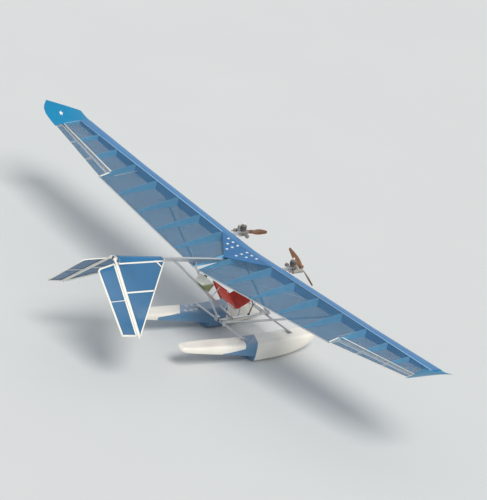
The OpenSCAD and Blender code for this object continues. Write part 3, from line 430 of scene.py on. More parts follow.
FLOAT_LOOKS = {}
for mark, paint in FLOAT_PAINT_AND_SHADOW.items():
    FLOAT_LOOKS[mark] = painted_float(f"float_{LONG_SIDE[mark]}_look", SIDES[mark], **paint)


def dress(piece, shader):
    """Gives a piece one material in place of all it had."""
    piece.data.materials.clear()
    piece.data.materials.append(shader.material)


def dress_frame():
    """Gives every solid of the frame the look of its slot."""
    for subpart in frame["record"]["subparts"]:
        name = subpart["node"]
        slot = subpart["material_slot"]
        if slot == "float_shell":
            dress(nodes[name], FLOAT_LOOKS[name[-1]])
        elif slot in LOOKS:
            dress(nodes[name], LOOKS[slot])


# Meshes

# Turned forms with fewer sides than this keep hard edges
ROUND_SIDES = 8


def add_object(name, data):
    made = bpy.data.objects.new(name, data)
    bpy.context.scene.collection.objects.link(made)
    return made


class Form:
    """Points and faces that grow into one closed mesh piece; flat faces keep hard edges."""

    def __init__(self):
        self.points = []
        self.faces = []
        self.flat = []

    def face(self, corners, flat=False):
        if flat:
            self.flat.append(len(self.faces))
        self.faces.append(tuple(corners))

    def turned(self, at, axis, profile, sides):
        """A turned form: a profile of radius and height along an axis, closed at both ends."""
        axis = Vector(axis).normalized()
        side = axis.orthogonal().normalized()
        up = axis.cross(side)
        base = len(self.points)
        for radius, height in profile:
            middle = Vector(at) + axis * height
            for k in range(sides):
                turn = math.tau * k / sides
                self.points.append(middle + (side * math.cos(turn) + up * math.sin(turn)) * radius)
        for ring in range(len(profile) - 1):
            low = base + ring * sides
            for k in range(sides):
                after = (k + 1) % sides
                corners = (low + k, low + after, low + sides + after, low + sides + k)
                self.face(corners, flat=sides < ROUND_SIDES)
        last = base + (len(profile) - 1) * sides
        self.face([base + k for k in reversed(range(sides))], flat=True)
        self.face([last + k for k in range(sides)], flat=True)

    def tube(self, start, end, radius, sides):
        self.turned(start, end - start, ((radius, 0.0), (radius, (end - start).length)), sides)

    def sheet(self, grid, thickness):
        """A closed thin sheet through a grid of points, thickened away from its right-hand normal."""
        rows = len(grid)
        columns = len(grid[0])
        base = len(self.points)
        self.points += [p for row in grid for p in row]
        for i in range(rows):
            for j in range(columns):
                along = grid[min(i + 1, rows - 1)][j] - grid[max(i - 1, 0)][j]
                across = grid[i][min(j + 1, columns - 1)] - grid[i][max(j - 1, 0)]
                self.points.append(grid[i][j] - along.cross(across).normalized() * thickness)
        under = base + rows * columns
        for i in range(rows - 1):
            for j in range(columns - 1):
                a = i * columns + j
                quad = (a, a + columns, a + columns + 1, a + 1)
                self.face(base + k for k in quad)
                self.face(under + k for k in reversed(quad))
        rim = list(range(columns))
        rim += [i * columns + columns - 1 for i in range(1, rows)]
        rim += [(rows - 1) * columns + j for j in range(columns - 2, -1, -1)]
        rim += [i * columns for i in range(rows - 2, 0, -1)]
        for a, b in zip(rim, rim[1:] + rim[:1]):
            self.face((base + a, base + b, under + b, under + a), flat=True)

    def piece(self, name, shader, slot, body=AIRFRAME):
        """The finished mesh, which rides on a body of the frame."""
        mesh = bpy.data.meshes.new(name)
        mesh.from_pydata(self.points, [], self.faces)
        flat = set(self.flat)
        for index, polygon in enumerate(mesh.polygons):
            polygon.use_smooth = index not in flat
        mesh.update()
        made = add_object(name, mesh)
        dress(made, shader)
        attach(made, body)
        return made


def sheet_piece(name, grid, thickness, shader, slot, body=AIRFRAME):
    form = Form()
    form.sheet(grid, thickness)
    return form.piece(name, shader, slot, body)


def even(first, last, steps):
    return [first + (last - first) * k / steps for k in range(steps + 1)]


def mirrored(point, side):
    return Vector((point[0] * side, point[1], point[2]))


def facing(grid, side):
    """The grid turned round on the right, so that mirrored sheets keep their outer face."""
    return grid if side > 0 else grid[::-1]


# Wing film


def span_size(x, values):
    """A size at a span station, straight from root to kink and from kink to tip."""
    root, kink, tip = values
    if x <= KINK_X:
        return root + (kink - root) * (x - ROOT_X) / (KINK_X - ROOT_X)
    return kink + (tip - kink) * (x - KINK_X) / (TIP_X - KINK_X)


def top_z(x):
    return SPAR_Z + x * math.tan(DIHEDRAL)


def edge_y(x):
    return span_size(x, AFT) - EDGE_D / 2


def edge_z(x):
    return top_z(x) - span_size(x, DROP)


def upper(x, s):
    end = edge_z(x) + EDGE_D / 2 + SKIN
    bulge = 4 * CAMBER * s * (1 - s) * span_size(x, DEPTH) / DEPTH[0]
    return top_z(x) + (end - top_z(x)) * s + bulge


def lower(x, s):
    start = top_z(x) - span_size(x, DEPTH)
    end = edge_z(x) - EDGE_D / 2 - SKIN
    return start + (end - start) * s


def wing_point(x, s, height, side=1):
    """A point at a span station, a share of the chord and a share of the depth there."""
    y = SPAR_Y + FIT + s * (edge_y(x) - FIT)
    z = lower(x, s) + (upper(x, s) - lower(x, s)) * height
    return Vector((x * side, y, z))


INNER_RIBS = [ROOT_X + i * INNER_BAY for i in range(INNER_BAYS + 1)]
OUTER_RIBS = [KINK_X + i * (TIP_X - KINK_X) / OUTER_BAYS for i in range(OUTER_BAYS + 1)]
# Each run of film: its ribs, and the shares of the chord where it starts and ends
INNER_RUN = (INNER_RIBS, 0.0, 1.0)
OUTER_RUN = ([KINK_X + FIT] + OUTER_RIBS[1:], 0.0, FILM_END_SHARE)
AILERON_RUN = ([KINK_X + SWING_GAP] + OUTER_RIBS[1:-1] + [TIP_X - SWING_GAP], FILM_START_SHARE, 1.0)
CHORD_STEPS = 16
BAY_STEPS = 10
# Film sinks between its ribs over most of the chord: a lower power makes the hollow flatter
SINK_POWER = 0.6


def bay_slack(x, ribs):
    """How slack the film is at a station: none on a rib and most midway between two."""
    for a, b in zip(ribs, ribs[1:]):
        if a <= x <= b:
            return math.sin(math.pi * (x - a) / (b - a))
    return 0.0


def film_sink(x, s, run):
    """How far the film sinks between its ribs at a station and a share of the chord."""
    ribs, first, last = run
    t = min(max((s - first) / (last - first), 0.0), 1.0)
    return BAY_SAG * bay_slack(x, ribs) * max(math.sin(math.pi * t), 0.0) ** SINK_POWER


def film_point(x, s, run, top, side, lift=0.0):
    point = wing_point(x, s, 1.0 if top else 0.0, side)
    rise = lift - film_sink(x, s, run)
    point.z += rise if top else -rise
    return point


def film_grid(run, top, side, shares, stations, lift=0.0):
    """Film that lies on the ribs and sinks a little between them, or a tape laid on that film."""
    grid = [[film_point(x, s, run, top, side, lift) for s in shares] for x in stations]
    if top != (side > 0):
        grid.reverse()
    return grid


def rib_stations(ribs):
    """Stations along a run of ribs, several to each bay."""
    stations = [ribs[0]]
    for a, b in zip(ribs, ribs[1:]):
        stations += even(a, b, BAY_STEPS)[1:]
    return stations


def film_run(name, run, side, body, node, shader, tape_shares=None):
    """Upper and lower film of one run of ribs, and a white tape on top between two shares of the chord."""
    ribs, first, last = run
    stations = rib_stations(ribs)
    tapes = []
    if tape_shares:
        strip = film_grid(run, True, side, even(*tape_shares, 2), stations, TAPE_LIFT)
        tapes.append(sheet_piece(f"{name}_tape", strip, TAPE_T, WHITE_TAPE, "white_tube", body))
    # The lower film takes the deeper blue of painted shade
    for face, top, look, on_top in (("top", True, shader, tapes), ("low", False, SHADED_LOW_FILM, [])):
        grid = film_grid(run, top, side, even(first, last, CHORD_STEPS), stations)
        piece = sheet_piece(f"{name}_{face}", grid, SHEET_T, look, "clear_film", body)
        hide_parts(node)


# Tapes on the wing: shares of the chord where they start and end, the spar tape's half width, and how far in
# from the tip's rib and the kink the rows of the other two lie
HINGE_TAPE_SHARES = (HINGE_SHARE - 0.042, HINGE_SHARE - 0.013)
TIP_TAPE_SHARES = (0.02, HINGE_SHARE - 0.02)
KINK_TAPE_SHARES = (0.74, 0.99)
SPAR_TAPE_HALF = 0.010
TIP_TAPE_INS = (0.016, 0.008, 0.001)
KINK_TAPE_INS = (0.030, 0.015, 0.001)

# Wire and rod inside the wing, at half its depth: the ends of each, by station and share of the chord
MID_DEPTH = 0.5
WIRE_ENDS = ((INNER_RIBS[3] - 0.02, 0.03), (ROOT_X + 0.03, 0.93))
WIRE_R = 0.003
ROD_ENDS = ((KINK_X - 0.10, 0.02), (KINK_X - 0.10, 0.66))
ROD_R = 0.009


def dress_wing(mark):
    side = SIDES[mark]
    wing_film = f"wing_film_{mark}"
    film_run(f"inner_film_{mark}", INNER_RUN, side, AIRFRAME, wing_film, LOOKS["clear_film"])
    film_run(f"outer_film_{mark}", OUTER_RUN, side, AIRFRAME, wing_film, OUTER_FILM, HINGE_TAPE_SHARES)
    film_run(f"aileron_skin_{mark}", AILERON_RUN, side, f"aileron_{LONG_SIDE[mark]}",
             f"aileron_film_{mark}", OUTER_FILM)
    dress_spar(mark, side)
    dress_inner_rigging(mark, side)


def dress_spar(mark, side):
    """Pale tapes along the nose box and the tip's rib, and a white one at the kink's trailing edge."""
    pale = Form()
    grid = []
    for x in (INNER_RIBS[1], KINK_X, TIP_X):
        offsets = (-SPAR_TAPE_HALF, 0.0, SPAR_TAPE_HALF)
        grid.append([Vector((x * side, SPAR_Y + y, top_z(x) + TAPE_LIFT)) for y in offsets])
    pale.sheet(facing(grid, side), TAPE_T)
    stations = [TIP_X - inset for inset in TIP_TAPE_INS]
    pale.sheet(film_grid(OUTER_RUN, True, side, even(*TIP_TAPE_SHARES, 12), stations, TAPE_LIFT), TAPE_T)
    pale.piece(f"spar_tape_{mark}", SPAR_TAPE, "nose_skin")
    stations = [KINK_X - inset for inset in KINK_TAPE_INS]
    strip = film_grid(INNER_RUN, True, side, even(*KINK_TAPE_SHARES, 8), stations, TAPE_LIFT)
    sheet_piece(f"kink_tape_{mark}", strip, TAPE_T, WHITE_TAPE, "white_tube")


def dress_inner_rigging(mark, side):
    """Drag wire across the inner bays and the push rod beside the aileron's inner rib, inside the film."""
    wire = Form()
    ends = [wing_point(x, share, MID_DEPTH, side) for x, share in WIRE_ENDS]
    wire.tube(*ends, WIRE_R, sides=8)
    wire.piece(f"drag_wire_{mark}", LOOKS["alloy_tube"], "alloy_tube")
    rod = Form()
    ends = [wing_point(x, share, MID_DEPTH, side) for x, share in ROD_ENDS]
    rod.tube(*ends, ROD_R, sides=12)
    rod.piece(f"push_rod_{mark}", LOOKS["white_tube"], "white_tube")


# Stars laid on the surface below them

DOWN = Vector((0, 0, -1))
# How far off a surface the search for it starts
SEARCH = 0.5
PATCH_STAR = 0.036
STAR_STEP = 0.138
STAR_MIDDLE = 0.07
# Rows of stars on each half of the patch: y from the spar, and how many
STAR_ROWS = ((0.050, 3), (0.175, 2), (0.300, 1))
DECK_STAR = 0.05
# Places on the left float's deck: x from the centre line and y from the spar
DECK_STARS = ((0.752, 0.438), (0.768, 0.303), (0.584, 0.600), (0.591, 0.459), (0.607, 0.311))
TIP_STAR = 0.055
TIP_STAR_AT = Vector((TIP_X + 0.215, SPAR_Y + 0.329, 2.17))


def patch_stars():
    """Two triangles of stars either side of the patch's middle, which sits a little to the left."""
    spots = []
    for side in SIDES.values():
        for y, count in STAR_ROWS:
            spots += [(STAR_MIDDLE + side * STAR_STEP * k, SPAR_Y + y, SPAR_Z) for k in range(1, count + 1)]
    return spots


def star_outline(radius, points=5, waist=0.42):
    outline = []
    for k in range(2 * points):
        reach = radius if k % 2 == 0 else radius * waist
        turn = math.pi * k / points
        outline.append((reach * math.sin(turn), reach * math.cos(turn)))
    return outline


def surface(piece):
    """A piece's mesh, ready for rays."""
    mesh = piece.data
    return BVHTree.FromPolygons([v.co for v in mesh.vertices], [p.vertices for p in mesh.polygons])


def lay_stars(name, centres, radius, target, way, slot):
    """Five-pointed stars laid on a mesh, met by going from each star's place along a way."""
    east = way.cross(Vector((0, -1, 0))).normalized()
    north = east.cross(way)
    tree = surface(target)
    ring = [(0.0, 0.0)] + star_outline(radius)
    count = len(ring)
    form = Form()
    for centre in centres:
        base = len(form.points)
        for height in (STAR_LIFT + STAR_T, STAR_LIFT):
            for u, v in ring:
                start = Vector(centre) + east * u + north * v - way * SEARCH
                form.points.append(tree.ray_cast(start, way)[0] - way * height)
        for k in range(1, count):
            after = k % (count - 1) + 1
            form.face((base, base + after, base + k), flat=True)
            form.face((base + count, base + count + k, base + count + after), flat=True)
            form.face((base + k, base + after, base + count + after, base + count + k), flat=True)
    return form.piece(name, STAR_WHITE, slot)


def dress_stars():
    """Stars on the wing tips and the left float's blue deck."""
    for mark, side in SIDES.items():
        tip = nodes[f"wing_tip_{mark}"]
        spot, normal, _, _ = surface(tip).ray_cast(mirrored(TIP_STAR_AT, side) - DOWN, DOWN)
        lay_stars(f"tip_star_{mark}", [spot], TIP_STAR, tip, -normal, "deep_blue")
    spots = [(x, SPAR_Y + y, DECK_Z) for x, y in DECK_STARS]
    lay_stars("deck_stars", spots, DECK_STAR, nodes["float_l"], DOWN, "float_shell")


# Blue patch over the wing roots, and its counterpart below

PATCH_LEN = 0.520
PATCH_START = 0.002
PATCH_END = 0.99 * PATCH_LEN
PATCH_LEAST_HALF = 0.004
# The lower patch starts beside the root rib, and ends where it is hardly wider than that rib's place
LOW_PATCH_X = ROOT_X + 0.002
LOW_PATCH_END = PATCH_LEN * (1 - 1.08 * ROOT_X / INNER_RIBS[1])
LOW_STAR_X = ROOT_X + PATCH_STAR + 0.006
# Skin over the gap between the nose boxes: how far it overlaps them, and its first and last turn in degrees
GAP_OVERLAP = 0.012
GAP_TURN = (90, -60)


def patch_half(y):
    """Half width of the patch, which narrows aft to a point."""
    return max(INNER_RIBS[1] * (1 - y / PATCH_LEN), PATCH_LEAST_HALF)


def patch_point(x, y, top):
    """A point just off the film; between the root ribs the patch spans the gap."""
    station = max(abs(x), ROOT_X)
    s = (y - FIT) / (edge_y(station) - FIT)
    point = film_point(station, s, INNER_RUN, top, 1, PATCH_LIFT)
    point.x = x
    point.z -= (station - abs(x)) * math.tan(DIHEDRAL)
    return point


def dress_patch():
    grid = []
    for y in even(PATCH_START, PATCH_END, 16):
        grid.append([patch_point(-share * patch_half(y), y, True) for share in even(-1, 1, 28)])
    patch = sheet_piece("patch_film", grid, PATCH_T, PATCH_FILM, "deep_blue")
    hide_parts("centre_patch")
    lay_stars("patch_stars", patch_stars(), PATCH_STAR, patch, DOWN, "deep_blue")
    for mark, side in SIDES.items():
        dress_low_patch(mark, side)


def dress_low_patch(mark, side):
    """Half of the patch on the lower film, from the root rib outwards."""
    grid = []
    for y in even(PATCH_START, LOW_PATCH_END, 14):
        grid.append([patch_point(side * x, y, False) for x in even(LOW_PATCH_X, patch_half(y), 14)])
    grid = facing(grid, side)
    patch = sheet_piece(f"low_patch_{mark}", grid, PATCH_T, LOW_PATCH_FILM, "deep_blue")
    stars = [spot for spot in patch_stars() if spot[0] * side > LOW_STAR_X]
    lay_stars(f"low_patch_stars_{mark}", stars, PATCH_STAR, patch, -DOWN, "deep_blue")


def dress_nose_gap():
    """Skin round the leading edge between the two nose boxes, which it overlaps."""
    depth = DEPTH[0] / 2
    reach = ROOT_X + GAP_OVERLAP
    grid = []
    for x in even(-reach, reach, 6):
        crown = top_z(abs(x)) - depth
        row = []
        for turn in even(*GAP_TURN, 20):
            angle = math.radians(turn)
            y = SPAR_Y - (NOSE_LEN + PATCH_LIFT) * math.cos(angle)
            row.append(Vector((x, y, crown + (depth + PATCH_LIFT) * math.sin(angle))))
        grid.append(row)
    skin = sheet_piece("nose_gap_skin", grid[::-1], PATCH_T, LOOKS["nose_skin"], "nose_skin")


# Tail panels


def hinge_point(x, off):
    """A point beside the hinge line, which rakes forward towards the tip."""
    return Vector((x, off - x * RAKE, 0))


FIN_FRONT = Vector((0, -FIN_ROOT, 0))
FIN_TIP = hinge_point(TAIL_LEN, -TAIL_SPAR_OFF)
FIN_REAR = hinge_point(ROOT_SPREAD, -TAIL_SPAR_OFF)
# The fin's rib starts at this share of the leading edge, and runs this far outboard on its way aft
FIN_RIB_SHARE = 0.395
FIN_RIB_OUT = 0.055
FIN_RIB_FRONT = FIN_FRONT.lerp(FIN_TIP, FIN_RIB_SHARE)
FIN_RIB_REAR = hinge_point(FIN_RIB_FRONT.x + FIN_RIB_OUT, -TAIL_SPAR_OFF)
NOSE_IN = hinge_point(RUDDER_IN, RUDDER_OFF)
NOSE_OUT = hinge_point(RUDDER_OUT, RUDDER_OFF)
EDGE_OUT = hinge_point(RUDDER_OUT, RUDDER_TIP)
EDGE_IN = Vector((RUDDER_IN + RUDDER_SLANT + RUDDER_CUT, RUDDER_ROOT, 0))
EDGE_CORNER = Vector((RUDDER_IN + RUDDER_SLANT, RUDDER_ROOT - RUDDER_CUT, 0))
TAIL_FRAME = Matrix.Translation((0, HINGE_Y, TAIL_Z)) @ Matrix.Rotation(BOOM_RISE, 4, "X")
PANEL = TAIL_FRAME @ Matrix.Translation((TAIL_X, 0, 0)) @ Matrix.Rotation(TAIL_ANGLE, 4, "Y")
# Heights of the film's outer face over each tube's axis
TUBE_GAP = 0.0006
FILM_OVER = TUBE_GAP + SHEET_T
FIN_LOW = FIN_EDGE_R + FILM_OVER
FIN_HIGH = TAIL_SPAR_R + FILM_OVER
RUDDER_HIGH = RUDDER_R + FILM_OVER
RUDDER_LOW = RUDDER_EDGE_R + FILM_OVER
# Shares of the panels where film ends at the fin's tip and where the ruddervator's cut corner ends
FIN_FILM_END = 0.985
CORNER_SHARE = 0.12
# Bindings: first and last turn round the tube in degrees, the lip on top, and how far they reach in
BINDING_TURN = (250, 100)
BINDING_LIP = 0.004
FIN_BINDING_IN = 0.018
RUDDER_BINDING_IN = 0.020
# Each bound edge of a ruddervator: its ends and its tube's radius
RUDDER_EDGES = (
    (NOSE_OUT, EDGE_OUT, RUDDER_END_R),
    (EDGE_OUT, EDGE_IN, RUDDER_EDGE_R),
    (EDGE_IN, EDGE_CORNER, RUDDER_END_R),
    (EDGE_CORNER, NOSE_IN, RUDDER_END_R),
)
# Flat tapes: their widths, and the shares of the edges where they start and end
RIB_TAPE_W = 0.030
CORNER_TAPE_W = 0.026
RUDDER_TAPE_W = 0.013
FIN_EDGE_RUN = (0.02, 0.975)
FIN_ROOT_RUN = (0.03, 0.96)
CORNER_TAPE_FRONT = 0.10
CORNER_TAPE_ROOT = 0.20
RUDDER_TAPE_NOSE = 0.51
RUDDER_TAPE_EDGE = 0.48
ROOT_TAPE_IN = Vector((0.020, 0, 0))
FIN_SEAL_END = TAIL_LEN - 0.02
# Profiles of the hinge seal's two halves: offset from the hinge line and height
FIXED_SEAL = ((-0.062, 0.0226), (-0.035, 0.0226), (-0.018, 0.0170), (-0.005, 0.0108))
MOVING_SEAL = ((0.005, 0.0108), (0.015, 0.0124), (0.026, 0.0136), (0.046, 0.0138))


def panel_grid(rows, side):
    """Points in the panel's plane, set in place on one side of the tail."""
    return facing([[mirrored(PANEL @ p, side) for p in row] for row in rows], side)


def raised(point, h):
    return Vector((point.x, point.y, h))


def fin_height(share):
    return FIN_LOW + (FIN_HIGH - FIN_LOW) * share


def fin_rows(rows=20, columns=14):
    """Film from the leading edge to the hinge spar, sinking a little inside its frame."""
    made = []
    for t in even(0.0, FIN_FILM_END, rows):
        front = FIN_FRONT.lerp(FIN_TIP, t)
        rear = FIN_REAR.lerp(FIN_TIP, t)
        row = []
        for s in even(0.0, 1.0, columns):
            sag = TAIL_SAG * math.sin(math.pi * s) * math.sin(math.pi * t)
            row.append(raised(front.lerp(rear, s), fin_height(s) - sag))
        made.append(row)
    return made


def rudder_rear(t):
    """The ruddervator's rear outline: the cut corner, then the trailing edge."""
    if t < CORNER_SHARE:
        return EDGE_CORNER.lerp(EDGE_IN, t / CORNER_SHARE)
    return EDGE_IN.lerp(EDGE_OUT, (t - CORNER_SHARE) / (1 - CORNER_SHARE))


def rudder_rows(rows=20, columns=10):
    """Film from the ruddervator's nose tube to its rear outline."""
    made = []
    for t in even(0.0, 1.0, rows):
        nose = NOSE_IN.lerp(NOSE_OUT, t)
        rear = rudder_rear(t)
        row = []
        for s in even(0.0, 1.0, columns):
            sag = RUDDER_SAG * math.sin(math.pi * s) * math.sin(math.pi * t)
            row.append(raised(nose.lerp(rear, s), RUDDER_HIGH + (RUDDER_LOW - RUDDER_HIGH) * s - sag))
        made.append(row)
    return made


def inward_of(start, end):
    """The way across an edge in the panel's plane, towards the film."""
    way = (end - start).normalized()
    return Vector((-way.y, way.x, 0))


def binding_rows(start, end, radius, high, inside, steps=8):
    """White tape wrapped round an edge tube, from below it over its outside and a little way in on top."""
    inward = inward_of(start, end)
    wrap = radius + FILM_OVER + TAPE_T
    profile = []
    for turn in even(*BINDING_TURN, 10):
        angle = math.radians(turn)
        profile.append((wrap * math.cos(angle), wrap * math.sin(angle)))
    profile += [(BINDING_LIP, high + TAPE_LIFT), (inside, high + TAPE_LIFT)]
    rows = []
    for t in even(0.0, 1.0, steps):
        spot = start.lerp(end, t)
        rows.append([raised(spot + inward * u, h) for u, h in profile])
    return rows


def strip_rows(start, end, width, heights, steps=8):
    """A flat tape between two points of the panel; heights are those at its start and end."""
    inward = inward_of(start, end)
    rows = []
    for t in even(0.0, 1.0, steps):
        spot = start.lerp(end, t)
        h = heights[0] + (heights[1] - heights[0]) * t + TAPE_LIFT
        rows.append([raised(spot + inward * u, h) for u in (-width / 2, 0.0, width / 2)])
    return rows


def seal_rows(profile, first, last, steps=10):
    """A strip along the hinge line with the given offsets and heights."""
    return [[raised(hinge_point(x, y), h) for y, h in profile] for x in even(first, last, steps)]


def tape_piece(name, tapes, side, body=AIRFRAME):
    """White tapes, each given by its rows in the panel's plane, as one piece."""
    form = Form()
    for rows in tapes:
        form.sheet(panel_grid(rows, side), TAPE_T)
    return form.piece(name, WHITE_TAPE, "white_tube", body)


def dress_fin(mark, side):
    """Film on the fin's outer face, with its edge binding, rib and root tapes and half of the hinge seal."""
    edge = [FIN_FRONT.lerp(FIN_TIP, share) for share in FIN_EDGE_RUN]
    root = [FIN_FRONT.lerp(FIN_REAR, share) for share in FIN_ROOT_RUN]
    corner = (FIN_FRONT.lerp(FIN_TIP, CORNER_TAPE_FRONT), FIN_FRONT.lerp(FIN_REAR, CORNER_TAPE_ROOT))
    root_rows = strip_rows(*root, RIB_TAPE_W, (FIN_LOW, FIN_HIGH))
    tape = tape_piece(f"tail_tape_{mark}", (
        binding_rows(*edge, FIN_EDGE_R, FIN_LOW, FIN_BINDING_IN),
        strip_rows(FIN_RIB_FRONT, FIN_RIB_REAR, RIB_TAPE_W, (FIN_LOW, FIN_HIGH)),
        strip_rows(*corner, CORNER_TAPE_W, (FIN_LOW, fin_height(CORNER_TAPE_ROOT))),
        [[p + ROOT_TAPE_IN for p in row] for row in root_rows],
        seal_rows(FIXED_SEAL, ROOT_SPREAD, FIN_SEAL_END),
    ), side)
    grid = panel_grid(fin_rows(), side)
    skin = sheet_piece(f"fin_film_{mark}", grid, SHEET_T, TAIL_FILM, "clear_film")
    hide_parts(f"tail_film_{mark}")


def dress_ruddervator(mark, side):
    """Film on the ruddervator's outer face, with its bindings, rib tape and half of the hinge seal."""
    body = f"ruddervator_{LONG_SIDE[mark]}"
    tapes = [binding_rows(start, end, radius, RUDDER_LOW, RUDDER_BINDING_IN)
             for start, end, radius in RUDDER_EDGES]
    rib = (NOSE_IN.lerp(NOSE_OUT, RUDDER_TAPE_NOSE), EDGE_IN.lerp(EDGE_OUT, RUDDER_TAPE_EDGE))
    tapes.append(strip_rows(*rib, RUDDER_TAPE_W, (RUDDER_HIGH, RUDDER_LOW)))
    tapes.append(seal_rows(MOVING_SEAL, RUDDER_IN, RUDDER_OUT))
    tape = tape_piece(f"ruddervator_tape_{mark}", tapes, side, body)
    grid = panel_grid(rudder_rows(), side)
    skin = sheet_piece(f"rudder_film_{mark}", grid, SHEET_T, TAIL_FILM, "clear_film", body)
    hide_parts(f"ruddervator_film_{mark}")


# Saddle over the boom: where it starts and ends behind the fins' front, how it clears the root tubes and the
# boom's corners and top, and the shares of its top and flanks that are laid out
COVER_FIRST = 0.030
COVER_LAST = FIN_ROOT - TAIL_SPAR_OFF - 4 * TAIL_SPAR_R
COVER_REST = FIN_EDGE_R + 0.0018
COVER_CORNER = Vector((BOOM_HALF + 0.0020, BOOM_HALF + 0.0018))
COVER_CROWN = Vector((0, BOOM_HALF + 0.0026))
COVER_TOP_RUN = (0.0, 0.94)
COVER_FLANK_RUN = (0.05, 1.0)


def dress_cover():
    """Blue saddle over the boom, from one fin's root tube over the boom's top to the other's."""
    grid = []
    for s in even(COVER_FIRST, COVER_LAST, 18):
        out = s / (FIN_ROOT - TAIL_SPAR_OFF) * ROOT_SPREAD
        foot = Vector((TAIL_X + out * math.cos(TAIL_ANGLE) + COVER_REST * math.sin(TAIL_ANGLE),
                       COVER_REST * math.cos(TAIL_ANGLE) - out * math.sin(TAIL_ANGLE)))
        half = [COVER_CROWN.lerp(COVER_CORNER, t) for t in even(*COVER_TOP_RUN, 4)]
        half += [COVER_CORNER.lerp(foot, t) for t in even(*COVER_FLANK_RUN, 8)]
        y = s - FIN_ROOT
        row = [Vector((p.x, y, p.y)) for p in reversed(half)] + [Vector((-p.x, y, p.y)) for p in half[1:]]
        grid.append([TAIL_FRAME @ p for p in row])
    cover = sheet_piece("cover_film", grid, SHEET_T, COVER_FILM, "deep_blue")
    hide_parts("tail_cover")


# Seat and tank, in the rear brace's frame

BRACE = Matrix.Translation((0, SPAR_Y + BRACE_Y, KEEL_Z)) @ Matrix.Rotation(BRACE_ANGLE, 4, "X")
BACK_WAY = Vector((0, math.cos(SEAT_LEAN), math.sin(SEAT_LEAN)))
BASE_WAY = Vector((0, -math.sin(SEAT_TILT), math.cos(SEAT_TILT)))
BACK_FACE = Vector((0, -math.sin(SEAT_LEAN), math.cos(SEAT_LEAN)))
BASE_FACE = Vector((0, math.cos(SEAT_TILT), math.sin(SEAT_TILT)))
SEAT_TOP = SEAT_LOW + BACK_WAY * SEAT_BACK
SEAT_FRONT = SEAT_LOW + BASE_WAY * SEAT_BASE
CLOTH_LEN = SEAT_BACK + SEAT_BASE
# The sling's bend between back and base, at its sides and added in its middle, and its sag on each
SIDE_BEND = 0.022
SLACK_BEND = 0.05
BACK_SAG = 0.030
BASE_SAG = 0.022
# Creases: their height, and two crossing waves in radians for each metre across and down the cloth
CREASE = 0.0016
CREASE_WAVES = ((61, 9), (5, 37))
# Sleeves on the side tubes: each tube's ends, and the shares of it where its sleeve starts and ends
SLEEVES = ((SEAT_TOP, SEAT_LOW, 0.03, 0.93), (SEAT_LOW, SEAT_FRONT, 0.10, 0.96))
SLEEVE_R = SEAT_TUBE_R + CLOTH_T
BAR_REACH = Vector((SEAT_TUBE_X - 0.02, 0, 0))
STITCH_X = SEAT_TUBE_X - 0.030
STITCH_END = 0.03
STITCH_LEN = 0.011
STITCH_R = 0.0012
# The tank cap's radius and height from its base up
CAP_PROFILE = ((0.034, -0.018), (0.034, 0.003), (0.031, 0.006), (0.012, 0.007))


def cloth_point(q, x):
    """A point of the sling: q runs down the back and out along the base, x across it."""
    slack = max(1 - (x / SEAT_TUBE_X) ** 2, 0.0)
    bend = SIDE_BEND + SLACK_BEND * slack
    turn = min(max((q - SEAT_BACK + bend) / (2 * bend), 0.0), 1.0)
    if turn == 0:
        spot = SEAT_LOW + BACK_WAY * (SEAT_BACK - q)
    elif turn == 1:
        spot = SEAT_LOW + BASE_WAY * (q - SEAT_BACK)
    else:
        spot = SEAT_LOW + (BACK_WAY * (1 - turn) ** 2 + BASE_WAY * turn ** 2) * bend
    if q < SEAT_BACK:
        sag = BACK_SAG * math.sin(math.pi * q / SEAT_BACK)
    else:
        sag = BASE_SAG * math.sin(math.pi * (q - SEAT_BACK) / SEAT_BASE)
    crease = CREASE
    for across, down in CREASE_WAVES:
        crease *= math.sin(x * across + q * down)
    face = BACK_FACE.lerp(BASE_FACE, turn).normalized()
    return BRACE @ (spot + Vector((x, 0, 0)) + face * (SLEEVE_R + (crease - sag) * slack))


def dress_seat():
    """Cloth slung between sleeves on the seat's side tubes and bars, sinking under its own slack."""
    grid = []
    for q in even(0.0, CLOTH_LEN, 56):
        grid.append([cloth_point(q, x) for x in even(-SEAT_TUBE_X, SEAT_TUBE_X, 32)])
    sling = sheet_piece("sling_cloth", grid, CLOTH_T, LOOKS["seat_cloth"], "seat_cloth")
    sleeves = Form()
    stitches = Form()
    for side in SIDES.values():
        out = Vector((side * SEAT_TUBE_X, 0, 0))
        for start, end, first, last in SLEEVES:
            ends = [BRACE @ (start.lerp(end, share) + out) for share in (first, last)]
            sleeves.tube(*ends, SLEEVE_R, sides=20)
        x = side * STITCH_X
        for q in even(STITCH_END, CLOTH_LEN - STITCH_END, 40):
            stitches.tube(cloth_point(q, x), cloth_point(q + STITCH_LEN, x), STITCH_R, sides=6)
    for bar in (SEAT_TOP, SEAT_FRONT):
        sleeves.tube(BRACE @ (bar - BAR_REACH), BRACE @ (bar + BAR_REACH), SLEEVE_R, sides=20)
    sleeve_piece = sleeves.piece("sling_sleeves", LOOKS["seat_cloth"], "seat_cloth")
    stitch_piece = stitches.piece("sling_stitches", STITCH, "seat_cloth")
    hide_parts("seat_sling")


def dress_tank():
    """Screw cap over the filler neck."""
    cap = Form()
    axis = BRACE.to_3x3() @ Vector((0, 0, 1))
    cap.turned(BRACE @ TANK_CAP_AT, axis, CAP_PROFILE, sides=28)
    cap.piece("tank_cap", LOOKS["black_grip"], "black_grip")


# Plug caps and bolt heads: their profiles give radius and height from the seat up

ENGINE_X = 0.730
BARREL_Y = SPAR_Y - 0.5038
